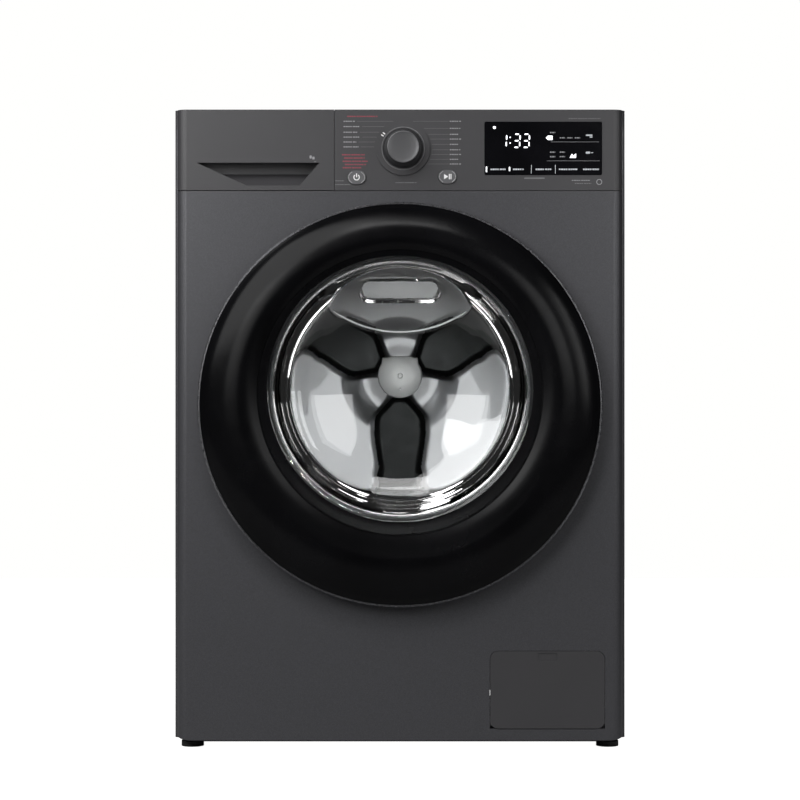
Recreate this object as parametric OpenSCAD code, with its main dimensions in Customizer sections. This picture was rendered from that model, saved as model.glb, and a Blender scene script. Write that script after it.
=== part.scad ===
// Front loading washing machine, free standing, built as an assembly of its real pieces.
// X runs to the right, -Y faces the user, Z is up. Origin: floor level, middle of the footprint.

/* [Cabinet] */
// Width across the side panels
body_w = 600; // [598:1:602]
// Height from the floor to the worktop
body_h = 850; // [850:1:856]
// Depth from the front panel to the worktop's rear edge
body_d = 565; // [565:1:570]
// Radius of the front panel's upright corners
corner_r = 13; // [10:1:14]
// Gap between the floor and the cabinet
ground_gap = 12; // [12:1:14]
// Height of the seam between front panel and control panel
seam_z = 741.5; // [741:0.5:742]

/* [Door] */
// Height of the door rim's centre
rim_z = 458; // [457:1:459]
// Radius of the door rim
rim_r = 267; // [266:1:269]
// Height of the glass bowl's centre
bowl_z = 478.6; // [478:0.2:479]
// Radius of the glass bowl at its mouth
bowl_r = 171; // [170:1:171]
// How far the door stands out from the front panel
door_out = 45; // [45:1:46]

/* [Drum] */
// Height of the drum's axis
drum_z = 500; // [499:1:501]
// Outer radius of the drum
drum_r = 228; // [226:1:228]
// Radius of the drum's mouth
mouth_r = 157; // [155:1:157]

/* [Controls] */
// Knob centre, across
knob_x = 4.2; // [0:0.2:8]
// Knob centre, height
knob_z = 797.8; // [796:0.2:800]
// Programme knob radius at its foot
knob_r = 26; // [25:1:26]
// Right edge of the detergent drawer's front
drawer_x = -87.5; // [-88:0.5:-87]

/* [Feet] */
// Radius of a foot's pad
foot_r = 15; // [14:1:16]
// Distance of the feet from the middle, across
foot_x = 278.5; // [277:0.5:279]

/* [Hidden] */
$fn = 64;

// Cabinet planes
half_w = body_w / 2;
front_y = -260;
rear_y = front_y + body_d;
shell_front = front_y + 15;
shell_rear = rear_y - 3;
shell_top = body_h - 24;
sheet = 1;
screw_hole = 2.05;
skin_half = half_w - 3.5;
wing_y = shell_front - 0.2;
face_low = ground_gap;
carrier_y = shell_front - 2.5;
fascia_low = seam_z + 0.8;
fascia_top = body_h - 0.4;

// Door planes
door_y = front_y - door_out;
rim_y = door_y + 25;
frame_y = front_y - 4;
hinge_x = -244;
hinge_y = -284.5;
hinge_z = 470;
pin_r = 4;
fit = 0.05;
hook_x = 209;
porthole_r = bowl_r + 19;

// Tub and drum planes
tub_gap = 10;
tub_in = drum_r + tub_gap;
tub_r = tub_in + 4;
tub_flange = tub_r + 4;
tub_y0 = -188;
tub_y1 = 185;
drum_y0 = -165;
drum_y1 = 151.5;
spring_x = 262;
spring_y = 60;
spring_low = 566;
hanger_z = shell_top - 29;
shaft_r1 = 15;
shaft_r2 = 12.5;
sump_half = 60;
heater_z = 244;
damper_spots = [[-170, -70], [170, -70], [170, 110]];
damper_foot = 62;
rod_top = 305;
spout = [60, -90];
fill = [-200, -120];

// Pump and filter behind the service flap
pump_x = 196;
pump_z = 85;
flap_x0 = 119.7;
flap_x1 = 271.7;
flap_z0 = 26.8;
flap_z1 = 130.6;

// Control panel fittings
power_at = [-57.6, 759.5];
start_at = [63, 760.4];
button_w = 24;
button_h = 18;
window = [112.2, 762.6, 268.2, 833.3];
foot_y = [-222, 278];
back_screws = [for (x = [-220, 220], z = [160, 350, 540, 728]) [x, z]];
lid_screws = [-270, 270];
lid_screw_z = 815;
transit_spots = [for (x = [-258, 258], z = [380, 640]) [x, z]];
valve_x = -150;
valve_z = 775;
gland_x = 250;
gland_z = 775;
drain_end = [-243, 760];

// Points of an arc, and of a rectangle with rounded corners
function arc(cx, cy, r, a0, a1, n) =
    [for (i = [0:n]) [cx + r * cos(a0 + (a1 - a0) * i / n), cy + r * sin(a0 + (a1 - a0) * i / n)]];
function rrect(x0, y0, x1, y1, r, n = 6) = concat(
    arc(x1 - r, y0 + r, r, -90, 0, n), arc(x1 - r, y1 - r, r, 0, 90, n),
    arc(x0 + r, y1 - r, r, 90, 180, n), arc(x0 + r, y0 + r, r, 180, 270, n));

// A block between two corners
module block(x0, y0, z0, x1, y1, z1) {
    translate([x0, y0, z0]) cube([x1 - x0, y1 - y0, z1 - z0]);
}
// An XZ outline, extruded from y0 to y1
module along_y(y0, y1) {
    translate([0, y1, 0]) rotate([90, 0, 0]) linear_extrude(y1 - y0) children();
}
// A YZ outline, extruded from x0 to x1
module along_x(x0, x1) {
    translate([x0, 0, 0]) rotate([90, 0, 90]) linear_extrude(x1 - x0) children();
}
// A round bar along Y
module bar_y(x, z, r, y0, y1) {
    translate([x, y1, z]) rotate([90, 0, 0]) cylinder(r = r, h = y1 - y0);
}
// A round bar along Z
module bar_z(x, y, r, z0, z1) {
    translate([x, y, z0]) cylinder(r = r, h = z1 - z0);
}
// A ring about the Y axis through height zc, from [radius, y] points
module revolve(zc, points) {
    translate([0, 0, zc]) rotate([-90, 0, 0]) rotate_extrude($fn = 96) polygon(points);
}
module tube_y(x, z, r, r_in, y0, y1) {
    difference() {
        bar_y(x, z, r, y0, y1);
        bar_y(x, z, r_in, y0 - 1, y1 + 1);
    }
}
module tube_z(x, y, r, r_in, z0, z1) {
    difference() {
        bar_z(x, y, r, z0, z1);
        bar_z(x, y, r_in, z0 - 1, z1 + 1);
    }
}

// Frame of a route: direction at each point, and a side vector that stays level
function unit(v) = v / norm(v);
function heading(p, i) = unit(p[min(i + 1, len(p) - 1)] - p[max(i - 1, 0)]);
function side_of(d) = abs(d[2]) > 0.9 ? unit(cross([0, 1, 0], d)) : unit(cross([0, 0, 1], d));
// Points between the hand-set points of a route, on a smooth curve
function spline(p, i, t) = let (a = p[max(i - 1, 0)], b = p[i], c = p[i + 1],
    d = p[min(i + 2, len(p) - 1)])
    0.5 * (2 * b + (c - a) * t + (2 * a - 5 * b + 4 * c - d) * t * t
    + (3 * b - a - 3 * c + d) * t * t * t);
function smooth(p, m) = concat([for (i = [0:len(p) - 2], j = [0:m - 1]) spline(p, i, j / m)],
    [p[len(p) - 1]]);
// Level side vectors flip where a route turns upright, so each ring follows the one before it
function carry(p, i, s) = i == len(p) ? [] : let (d = heading(p, i), q = unit(s - (s * d) * d))
    concat([q], carry(p, i + 1, q));
// A hose with a bore, swept along a route
module hose(route, r, r_in, n = 12) {
    rings = len(route);
    sides = carry(route, 0, side_of(heading(route, 0)));
    function loop(i, q) = let (d = heading(route, i), s = sides[i], t = cross(d, s))
        [for (k = [0:n - 1]) route[i] + q * cos(360 * k / n) * s + q * sin(360 * k / n) * t];
    points = concat([for (i = [0:rings - 1]) each loop(i, r)],
        [for (i = [0:rings - 1]) each loop(i, r_in)]);
    inner = rings * n;
    wall = [for (i = [0:rings - 2], k = [0:n - 1]) let (j = (k + 1) % n)
        each [[i * n + k, (i + 1) * n + k, (i + 1) * n + j], [i * n + k, (i + 1) * n + j, i * n + j]]];
    bore = [for (i = [0:rings - 2], k = [0:n - 1]) let (j = (k + 1) % n)
        each [[inner + i * n + k, inner + (i + 1) * n + j, inner + (i + 1) * n + k],
        [inner + i * n + k, inner + i * n + j, inner + (i + 1) * n + j]]];
    last = (rings - 1) * n;
    ends = [for (k = [0:n - 1]) let (j = (k + 1) % n)
        each [[k, j, inner + j], [k, inner + j, inner + k],
        [last + k, inner + last + j, last + j], [last + k, inner + last + k, inner + last + j]]];
    polyhedron(points, concat(wall, bore, ends));
}

// ---- Cabinet ----

module plan_ring(x, y0, y1, r, t) {
    difference() {
        polygon(rrect(-x, y0, x, y1, r));
        polygon(rrect(-x + t, y0 + t, x - t, y1 - t, r - t));
    }
}

// Two side sheets with flanges turned in at the front, and the rear sheet between them
module cabinet_shell() color([0.25, 0.25, 0.26]) difference() {
    translate([0, 0, face_low + 2])
        linear_extrude(shell_top - face_low - 2) plan_ring(half_w, shell_front, shell_rear, 4, sheet);
    block(-half_w + 17, shell_front - 1, 0, half_w - 17, shell_front + 2, body_h);
    along_y(shell_rear - 3, shell_rear + 1) polygon(rrect(-212, 150, 212, 735, 12));
    for (s = [-1, 1]) translate([s * (half_w - 8), shell_rear, body_h / 2])
        cube([0.2, 4, body_h], center = true);
    for (x = lid_screws) bar_y(x, lid_screw_z, screw_hole, shell_rear - 3, shell_rear + 1);
    for (p = back_screws) bar_y(p[0], p[1], screw_hole, shell_rear - 3, shell_rear + 1);
    for (p = transit_spots) bar_y(p[0], p[1], 11, shell_rear - 3, shell_rear + 1);
    bar_y(valve_x, valve_z, 25, shell_rear - 3, shell_rear + 1);
    bar_y(drain_end[0], drain_end[1], 14, shell_rear - 3, shell_rear + 1);
    bar_y(gland_x, gland_z, 8.05, shell_rear - 3, shell_rear + 1);
}

// Access cover, pressed out to clear the motor
module back_cover() color([0.6, 0.61, 0.62]) difference() {
    union() {
        along_y(shell_rear, shell_rear + 1) polygon(rrect(-230, 145, 230, 742, 10));
        along_y(shell_rear + 0.5, rear_y - 0.4) polygon(rrect(-205, 175, 205, 712, 30));
    }
    along_y(shell_rear - 1, rear_y - 1.4) polygon(rrect(-204, 176, 204, 711, 29));
    for (p = back_screws) bar_y(p[0], p[1], screw_hole, shell_rear - 1, rear_y);
}

module base_frame() color([0.55, 0.56, 0.58]) difference() {
    union() {
        difference() {
            block(-half_w + 2, shell_front + 2, face_low + 2, half_w - 2, shell_rear - 2, 36);
            block(-half_w + 46, shell_front + 46, 0, half_w - 46, shell_rear - 46, 40);
            difference() {
                block(-half_w + 3.5, shell_front + 3.5, face_low + 4, half_w - 3.5, shell_rear - 3.5, 37);
                block(-half_w + 44, shell_front + 44, 0, half_w - 44, shell_rear - 44, 40);
            }
        }
        for (x = [-foot_x, foot_x], y = foot_y) bar_z(x, y, 11, face_low + 3, 36);
        for (y = [-95, 85]) block(-half_w + 4, y, 35, half_w - 4, y + 50, 38);
        for (p = damper_spots) block(p[0] - 20, p[1] - 20, 37, p[0] + 20, p[1] + 20, damper_foot);
        block(pump_x - 24, shell_front + 44, 30, pump_x + 24, -125, 52);
    }
    for (x = [-foot_x, foot_x], y = foot_y) bar_z(x, y, 5 + fit, 0, 60);
}

// Rails that stiffen the top of the cabinet, with the hangers of the tub's springs
module top_frame() color([0.6, 0.62, 0.64]) {
    mid_y = (shell_front + shell_rear) / 2;
    length = shell_rear - shell_front;
    difference() {
        block(-half_w + 15, shell_front + 1.5, 736, half_w - 15, shell_front + 19, 756);
        block(-half_w, shell_front + 3, 737.5, half_w, shell_front + 17.5, 757);
    }
    difference() {
        block(-half_w + 15, shell_rear - 20, shell_top - 24, half_w - 15, shell_rear - 2, shell_top - 2);
        block(-half_w, shell_rear - 18.5, shell_top - 22.5, half_w, shell_rear - 3.5, shell_top - 1);
        for (x = lid_screws) bar_y(x, lid_screw_z, screw_hole, shell_rear - 5, shell_rear);
    }
    for (s = [-1, 1]) {
        difference() {
            translate([s * (half_w - 8), mid_y, shell_top - 14]) cube([12, length - 4, 26], center = true);
            translate([s * (half_w - 9), mid_y, shell_top - 14]) cube([11, length - 7, 23], center = true);
        }
        translate([s * (spring_x + 5), spring_y, hanger_z + 1.5]) cube([37.8, 34, 3], center = true);
    }
    block(120, -40, shell_top - 6, half_w - 14.1, 10, shell_top - 3);
}

// Worktop: a board with an edge skirt that sits on the shell
module top_panel() color([0.27, 0.27, 0.28]) difference() {
    translate([0, 0, shell_top]) linear_extrude(body_h - shell_top)
        polygon(rrect(-half_w, carrier_y + 0.5, half_w, rear_y, 6));
    block(-half_w + 12, shell_front + 1, shell_top - 1, half_w - 12, rear_y - 14, body_h - 12);
}

// Plan of a front skin: rounded upright corners, running back to the given depth
module skin_fill(x0, x1, t, back, round_left = true) {
    r = corner_r;
    right = concat([[x1 - t, back]], arc(x1 - r, front_y + r, r - t, 0, -90, 8));
    left = round_left ? concat(arc(x0 + r, front_y + r, r - t, -90, -180, 8), [[x0 + t, back]])
        : [[x0 + t, front_y + t], [x0 + t, back]];
    polygon(concat(right, left));
}
module skin_plan(x0, x1, t, back, round_left = true) {
    difference() {
        skin_fill(x0, x1, 0, back, round_left);
        skin_fill(x0, x1, t, back + 1, round_left);
    }
}

// Sheet front with the porthole, the flap opening and the door's cut-outs
module front_panel() color([0.29, 0.29, 0.3]) difference() {
    union() {
        intersection() {
            translate([0, 0, face_low]) linear_extrude(seam_z - face_low)
                skin_plan(-skin_half, skin_half, 1, wing_y);
            along_y(front_y - 1, wing_y + 1) polygon(concat([[skin_half + 1, seam_z + 1]],
                [[-skin_half - 1, seam_z + 1], [-skin_half - 1, face_low + 6]],
                [for (a = [180:15:270]) [-skin_half + 22 + 23 * cos(a), face_low + 6 + 6 * sin(a)]],
                [for (a = [270:15:360]) [skin_half - 22 + 23 * cos(a), face_low + 6 + 6 * sin(a)]]));
        }
        block(-skin_half + 12, front_y + 0.5, seam_z - 1, skin_half - 12, shell_front - 0.4, seam_z);
        block(-skin_half + 30, front_y + 0.5, face_low, skin_half - 30, shell_front - 0.4, face_low + 1);
        tube_y(0, bowl_z, porthole_r + 1, porthole_r, front_y + 0.5, front_y + 14);
    }
    bar_y(0, bowl_z, porthole_r, front_y - 1, shell_front + 1);
    along_y(front_y - 1, front_y + 3)
        polygon(rrect(flap_x0 - 0.5, flap_z0, flap_x1 + 0.5, flap_z1 + 0.5, 11));
    for (x = [flap_x0 - 0.5, flap_x1 - 5.5])
        block(x, front_y - 1, flap_z0 + 0.9, x + 6, front_y + 3, flap_z0 + 7);
    block(hook_x - 6, front_y - 1, bowl_z - 14, hook_x + 18, front_y + 3, bowl_z + 14);
}

// Control panel skin to the right of the drawer, on a carrier frame across the whole width
module control_panel() color([0.3, 0.295, 0.3]) difference() {
    union() {
        difference() {
            translate([0, 0, fascia_low]) linear_extrude(fascia_top - fascia_low)
                skin_fill(drawer_x + 0.6, skin_half, 0, carrier_y + 0.4, false);
            translate([0, 0, fascia_low + 2.5]) linear_extrude(fascia_top - fascia_low - 5)
                skin_fill(drawer_x + 0.6, skin_half, 2.5, carrier_y + 2, false);
        }
        block(-skin_half, carrier_y, fascia_low + 0.5, skin_half - 1, carrier_y + 2.2, shell_top - 0.3);
        tube_y(knob_x, knob_z, 35.5, knob_r + 0.6, front_y - 2.4, front_y + 1);
    }
    block(-half_w + 13, carrier_y - 1, 746.5, drawer_x - 4, carrier_y + 3, shell_top + 1);
    block(drawer_x + 12, carrier_y - 1, 757, skin_half - 24, carrier_y + 3, shell_top - 12);
    bar_y(knob_x, knob_z, 3.4, front_y - 3, front_y + 4);
    along_y(front_y - 1, front_y + 4)
        polygon(rrect(window[0] - 0.2, window[1] - 0.2, window[2] + 0.2, window[3] + 0.2, 2.2));
    for (p = [power_at, start_at]) along_y(front_y - 1, front_y + 4) button_outline(p, 0.4);
}

module button_outline(p, grow) {
    polygon(rrect(p[0] - button_w / 2 - grow, p[1] - button_h / 2 - grow,
        p[0] + button_w / 2 + grow, p[1] + button_h / 2 + grow, button_h / 2 + grow - 0.02, 10));
}

module display_window() color([0.02, 0.02, 0.025])
    along_y(front_y - 0.3, front_y + 2.5) polygon(rrect(window[0], window[1], window[2], window[3], 2));

// Circuit board with the digit module, the knob's encoder and the two key switches
module display_board() color([0.05, 0.3, 0.15]) difference() {
    union() {
        block(-80, front_y + 7, 750, 278, front_y + 8.6, 842);
        block(window[0] + 4, front_y + 3, window[1] + 4, window[2] - 4, front_y + 7.5, window[3] - 4);
        block(knob_x - 9, front_y + 3.4, knob_z - 9, knob_x + 9, front_y + 7.5, knob_z + 9);
        for (p = [power_at, start_at]) bar_y(p[0], p[1], 2.5, front_y + 5.9, front_y + 7.5);
        for (x = [-55, 60, 90]) block(x, front_y + 4, 815, x + 14, front_y + 7.5, 829);
    }
    bar_y(knob_x, knob_z, 3 + fit, front_y, front_y + 10);
}

// Mains filter and motor drive in a plastic box, under the worktop
module main_control_box() color([0.82, 0.82, 0.8]) {
    difference() {
        block(125, -160, 764, 270, -50, shell_top - 30);
        block(128, -157, 767, 267, -53, shell_top);
    }
    block(123, -162, shell_top - 29.9, 272, -48, shell_top - 27);
    block(129, -156, 766.9, 266, -54, 768.6);
    for (y = [-130:20:-80]) block(150, y, 768.5, 245, y + 4, 786);
    block(190, -110, shell_top - 27, 216, -60, shell_top - 24);
}

// Detergent housing: a box open to the front, with water channels on its lid
module dispenser_housing() color([0.85, 0.86, 0.86]) difference() {
    union() {
        block(-284, shell_front + 1.5, 759, -92, 18, 834);
        tube_z(fill[0], fill[1], 14, 11, 744, 760);
        for (x = [-12, 12]) bar_y(valve_x + x, valve_z + 25, 6, 16, 30);
    }
    block(-281.5, shell_front, 761.5, -94.5, 15.5, 831.5);
    block(-275, shell_front, 755, -102, front_y + 29.5, 763);
    bar_z(fill[0], fill[1], 11, 740, 765);
    for (x = [-12, 12]) bar_y(valve_x + x, valve_z + 25, 4, 10, 31);
}

// Twin solenoid valve; its threaded port stands in the rear wall
module inlet_valve() color([0.9, 0.9, 0.88]) {
    bar_y(valve_x, valve_z, 13.2, rear_y - 20, rear_y - 0.5);
    bar_y(valve_x, valve_z, 16, rear_y - 36, rear_y - 19.9);
    for (x = [-12, 12]) {
        block(valve_x + x - 9, rear_y - 60, valve_z - 16, valve_x + x + 9, rear_y - 35.9, valve_z + 16);
        bar_y(valve_x + x, valve_z + 10, 6, rear_y - 74, rear_y - 59.9);
    }
}

module valve_hoses() color([0.15, 0.15, 0.16]) for (x = [-12, 12])
    hose(smooth([[valve_x + x, rear_y - 61, valve_z + 10], [valve_x + x, rear_y - 78, valve_z + 10],
        [valve_x + x, rear_y - 95, valve_z + 10], [valve_x + x * 2, 150, valve_z + 8],
        [valve_x + x * 1.6, 95, valve_z + 18], [valve_x + x, 56, valve_z + 25],
        [valve_x + x, 36, valve_z + 25], [valve_x + x, 19, valve_z + 25]], 3), 9, 6.9, 10);

module mains_gland() color([0.08, 0.08, 0.08]) difference() {
    union() {
        bar_y(gland_x, gland_z, 8, shell_rear - 8, rear_y - 0.6);
        bar_y(gland_x, gland_z, 12, shell_rear, rear_y - 0.6);
        bar_y(gland_x, gland_z, 11, shell_rear - 9, shell_rear - 1.2);
    }
    bar_y(gland_x, gland_z, 4, shell_rear - 20, rear_y + 1);
}

// Level switch that reads the air trapped in the tub's sump
module pressure_sensor() color([0.88, 0.88, 0.86]) {
    bar_x(268, half_w - 15, 150, 770, 22);
    bar_x(252, 268.1, 150, 770, 4);
    block(half_w - 15.1, 140, 760, half_w - 1.5, 160, 798);
}
module bar_x(x0, x1, y, z, r) {
    translate([x0, y, z]) rotate([0, 90, 0]) cylinder(r = r, h = x1 - x0);
}

module cabinet_screws() color([0.75, 0.75, 0.76]) {
    for (p = back_screws) {
        bar_y(p[0], p[1], 4, shell_rear + 1, rear_y - 0.2);
        bar_y(p[0], p[1], 2, shell_rear - 8, shell_rear + 1.1);
    }
    for (x = lid_screws) {
        bar_y(x, lid_screw_z, 4, rear_y - 3, rear_y - 0.2);
        bar_y(x, lid_screw_z, 2, rear_y - 12, rear_y - 2.9);
    }
}

// Caps over the four transit bolt holes
module transit_plugs() color([0.3, 0.3, 0.31]) for (p = transit_spots) {
    bar_y(p[0], p[1], 16, shell_rear, rear_y - 0.4);
    bar_y(p[0], p[1], 10.9, shell_rear - 10, shell_rear + 0.1);
}

// Two round rungs on a plate, reaching round the door's rim to the hinge axis
module hinge_bracket() color([0.7, 0.7, 0.72]) {
    block(hinge_x + 12, frame_y + 1.6, hinge_z - 52, hinge_x + 43, front_y, hinge_z + 52);
    for (s = [-1, 1]) translate([0, 0, hinge_z + s * 43 - 4]) {
        linear_extrude(8) union() {
            translate([hinge_x + 23, hinge_y - 3]) square([6, front_y - hinge_y + 1.5]);
            translate([hinge_x, hinge_y - 3]) square([26, 6]);
            translate([hinge_x, hinge_y]) circle(6);
        }
    }
    bar_z(hinge_x, hinge_y, pin_r, hinge_z - 49, hinge_z + 49);
}

// Bolted behind the front panel; the door's hook enters its pocket
module door_lock() color([0.12, 0.12, 0.13]) difference() {
    block(hook_x - 13, front_y + 18, bowl_z - 42, hook_x + 25, front_y + 48, bowl_z + 40);
    block(hook_x - 9, front_y + 17, bowl_z - 13, hook_x + 19, front_y + 38, bowl_z + 13);
}

// ---- Tub ----

// Bellows between porthole and tub: the ring's centre climbs from the bowl's height to the drum's
function bellows_z(y) = y < -236 ? bowl_z : y > -206 ? drum_z
    : bowl_z + (drum_z - bowl_z) * (y + 236) / 30;
module gasket() color([0.2, 0.2, 0.21]) {
    p = porthole_r;
    lip = [[p - 0.6, -262], [p - 0.6, -244], [p - 5, -236], [p - 1, -226], [p - 5, -216], [p - 13, -208],
        [171.8, -199], [171.8, -188.3], [166.4, -188.3], [166.4, -199], [p - 18, -210], [p - 10, -218],
        [p - 6, -226], [p - 10, -236], [p - 9.5, -246], [p - 13.5, -262]];
    n = len(lip);
    turns = 48;
    points = [for (i = [0:turns - 1], q = lip)
        [q[0] * cos(360 * i / turns), q[1], bellows_z(q[1]) + q[0] * sin(360 * i / turns)]];
    faces = [for (i = [0:turns - 1], k = [0:n - 1])
        let (a = i * n, b = ((i + 1) % turns) * n, j = (k + 1) % n)
        each [[a + k, b + k, b + j], [a + k, b + j, a + j]]];
    polyhedron(points, faces);
}

module gasket_clamp() color([0.75, 0.76, 0.78]) {
    revolve(drum_z, [[172.2, -196], [174.2, -196], [174.2, -189], [172.2, -189]]);
    block(-9, -198, drum_z - 183, 9, -188.5, drum_z - 173.5);
}

// Lug that takes the top of a damper rod
module rod_lug(p) {
    block(p[0] - 11, p[1] - 10, rod_top, p[0] + 11, p[1] + 10, 350);
}

module tub_front() color([0.85, 0.86, 0.87]) difference() {
    union() {
        revolve(drum_z, [[0, tub_y0], [tub_r, tub_y0], [tub_r, -5], [tub_flange, -5], [tub_flange, 0],
            [0, 0]]);
        revolve(drum_z, [[0, -196], [166, -196], [166, tub_y0 + 1], [0, tub_y0 + 1]]);
        bar_z(spout[0], spout[1], 18, 246, 300);
        bar_z(fill[0], fill[1], 14, 600, 684);
        for (p = damper_spots) if (p[1] < 0) rod_lug(p);
    }
    revolve(drum_z, [[0, tub_y0 + 4], [tub_in, tub_y0 + 4], [tub_in, 1], [0, 1]]);
    bar_y(0, drum_z, 162, -200, -180);
    bar_z(spout[0], spout[1], 14, 240, 300);
    bar_z(fill[0], fill[1], 11, 600, 690);
}

module tub_rear() color([0.85, 0.86, 0.87]) difference() {
    union() {
        revolve(drum_z, [[0, 0], [tub_flange, 0], [tub_flange, 5], [tub_r, 5], [tub_r, tub_y1], [45, tub_y1],
            [45, 238], [0, 238]]);
        for (a = [15:30:345]) translate([0, 0, drum_z]) rotate([0, a, 0])
            block(-2, tub_y1 - 1, 44, 2, tub_y1 + 10, tub_r - 3);
        block(-sump_half, 8, heater_z - 20, sump_half, tub_y1, 300);
        for (s = [-1, 1]) translate([s * 244, spring_y, spring_low - 5]) cube([56, 20, 10], center = true);
        for (p = damper_spots) if (p[1] > 0) rod_lug(p);
    }
    revolve(drum_z, [[0, -1], [tub_in, -1], [tub_in, tub_y1 - 4], [0, tub_y1 - 4]]);
    block(-sump_half + 4, 12, heater_z - 16, sump_half - 4, tub_y1 - 4, 300);
    block(-42, tub_y1 - 6, heater_z - 9, 42, tub_y1 + 1, heater_z + 9);
    bar_y(0, drum_z, 36 + fit, 150, 190);
    bar_y(0, drum_z, 31 + fit, 189.9, 206);
    bar_y(0, drum_z, 20, 205, 224);
    bar_y(0, drum_z, 26 + fit, 222, 240);
}

// Two concrete half rings on the tub's front
module counterweights() color([0.6, 0.6, 0.58]) for (side = [0, 180])
    translate([0, -190, drum_z]) rotate([90, 0, 0]) linear_extrude(30)
        polygon(concat(arc(0, 0, tub_flange, side + 25, side + 155, 32),
            arc(0, 0, 207, side + 155, side + 25, 32)));

module damper_rods() color([0.8, 0.8, 0.82]) for (p = damper_spots) {
    bar_z(p[0], p[1], 6, 150, rod_top);
    bar_z(p[0], p[1], 12.2, 138, 156);
}
module damper_tubes() color([0.3, 0.3, 0.32]) for (p = damper_spots) difference() {
    bar_z(p[0], p[1], 16, damper_foot, 196);
    bar_z(p[0], p[1], 12.2 + fit, damper_foot + 4, 190);
    bar_z(p[0], p[1], 6.4, 180, 200);
}

module suspension_springs() color([0.7, 0.7, 0.73]) {
    turns = 13;
    steps = 8;
    for (s = [-1, 1]) hose([for (i = [0:turns * steps]) [s * spring_x + 11 * cos(360 * i / steps),
        spring_y + 11 * sin(360 * i / steps),
        spring_low + 2.2 + (hanger_z - spring_low - 4.4) * i / (turns * steps)]], 2, 0.5, 5);
}

module bearings() color([0.75, 0.76, 0.78]) {
    tube_y(0, drum_z, 31, shaft_r1 + fit, 190, 206);
    tube_y(0, drum_z, 26, shaft_r2 + fit, 223, 238);
}
module shaft_seal() color([0.1, 0.1, 0.1]) tube_y(0, drum_z, 36, shaft_r1 + fit, 182, 189.8);

// Ring of wound teeth fixed to the tub's back
module stator() color([0.7, 0.42, 0.2]) difference() {
    union() {
        bar_y(0, drum_z, 82, 196, 230);
        for (a = [0:10:350]) translate([0, 0, drum_z]) rotate([0, a, 0]) block(-4, 200, 78, 4, 226, 106);
        for (a = [0:10:350]) translate([0, 0, drum_z]) rotate([0, a, 0]) block(-6, 198, 105, 6, 228, 112);
    }
    bar_y(0, drum_z, 54, 190, 240);
}

module heater() color([0.72, 0.72, 0.74]) {
    for (x = [-28, 28]) {
        bar_y(x, heater_z, 4.2, 50, 192);
        block(x - 3, 191, heater_z - 1, x + 3, 200, heater_z + 1);
    }
    translate([0, 50, heater_z]) rotate([0, 0, 180]) rotate_extrude(angle = 180)
        translate([28, 0]) circle(4.2);
    block(-41.9, tub_y1 - 5, heater_z - 8.9, 41.9, tub_y1 + 1, heater_z + 8.9);
}

// ---- Drum ----

module drum_shell() color([0.78, 0.79, 0.8]) revolve(drum_z, concat(
    [[mouth_r, drum_y0 + 4], [mouth_r, drum_y0], [mouth_r + 6, drum_y0 - 3]],
    [[drum_r - 14, drum_y0 + 2]], arc(drum_r - 8, drum_y0 + 12, 8, -60, 0, 5),
    [[drum_r, 150], [drum_r - 1, 150]],
    arc(drum_r - 8, drum_y0 + 12, 7, 0, -60, 5), [[drum_r - 14, drum_y0 + 3.2], [mouth_r + 6, drum_y0 - 1.8],
    [mouth_r + 1, drum_y0 + 1], [mouth_r + 1, drum_y0 + 4]]));

module drum_back() color([0.76, 0.77, 0.78]) revolve(drum_z, [[0, 126], [46, 126], [110, 142], [190, 146],
    [drum_r - 1.1, 149], [drum_r - 1.1, 150.5], [190, 147.5], [110, 143.5], [45, 127.5], [0, 127.5]]);

module spider_and_shaft() color([0.66, 0.67, 0.68]) {
    bar_y(0, drum_z, 44, drum_y1, 176);
    for (a = [0, 120, 240]) translate([0, 0, drum_z]) rotate([0, a, 0]) {
        block(-20, drum_y1, 30, 20, 172, 120);
        block(-14, drum_y1, 119, 14, 168, drum_r - 6);
    }
    bar_y(0, drum_z, shaft_r1, 175, 208);
    bar_y(0, drum_z, shaft_r2, 207, 262);
    bar_y(0, drum_z, 8, 261, 276);
}

module paddle(t) polygon([[-30 + t * 2, drum_r], [-25 + t, drum_r - 9], [-15 + t, drum_r - 32],
    [-9 + t, drum_r - 38 + t], [9 - t, drum_r - 38 + t], [15 - t, drum_r - 32], [25 - t, drum_r - 9],
    [30 - t * 2, drum_r]]);
module drum_lifters() color([0.72, 0.73, 0.74]) for (a = [0, 120, 240])
    translate([0, 0, drum_z]) rotate([0, a, 0]) difference() {
        intersection() {
            along_y(-140, 118) paddle(0);
            bar_y(0, 0, drum_r - 1.1, -150, 150);
        }
        along_y(-137, 115) paddle(3);
    }

module hub_cap() color([0.8, 0.8, 0.79]) revolve(drum_z, [[0, 114], [20, 114.6], [30, 117], [33, 121],
    [33, 125.9], [0, 125.9]]);

module rotor() color([0.7, 0.71, 0.72]) difference() {
    revolve(drum_z, [[shaft_r2 + 0.1, 240], [30, 240], [34, 246], [122, 246], [122, 229], [115, 229],
        [115, 201], [122, 201], [122, 199], [130, 199], [130, 250], [34, 250], [30, 254],
        [shaft_r2 + 0.1, 254]]);
    for (a = [0:30:330]) translate([0, 0, drum_z]) rotate([0, a, 0]) bar_y(0, 80, 12, 240, 256);
}

module rotor_nut() color([0.8, 0.8, 0.82]) {
    translate([0, 272, drum_z]) rotate([90, 0, 0]) difference() {
        cylinder(r = 15, h = 9.9, $fn = 6);
        translate([0, 0, -1]) cylinder(r = 8.05, h = 12);
    }
}

// ---- Door ----

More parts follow.
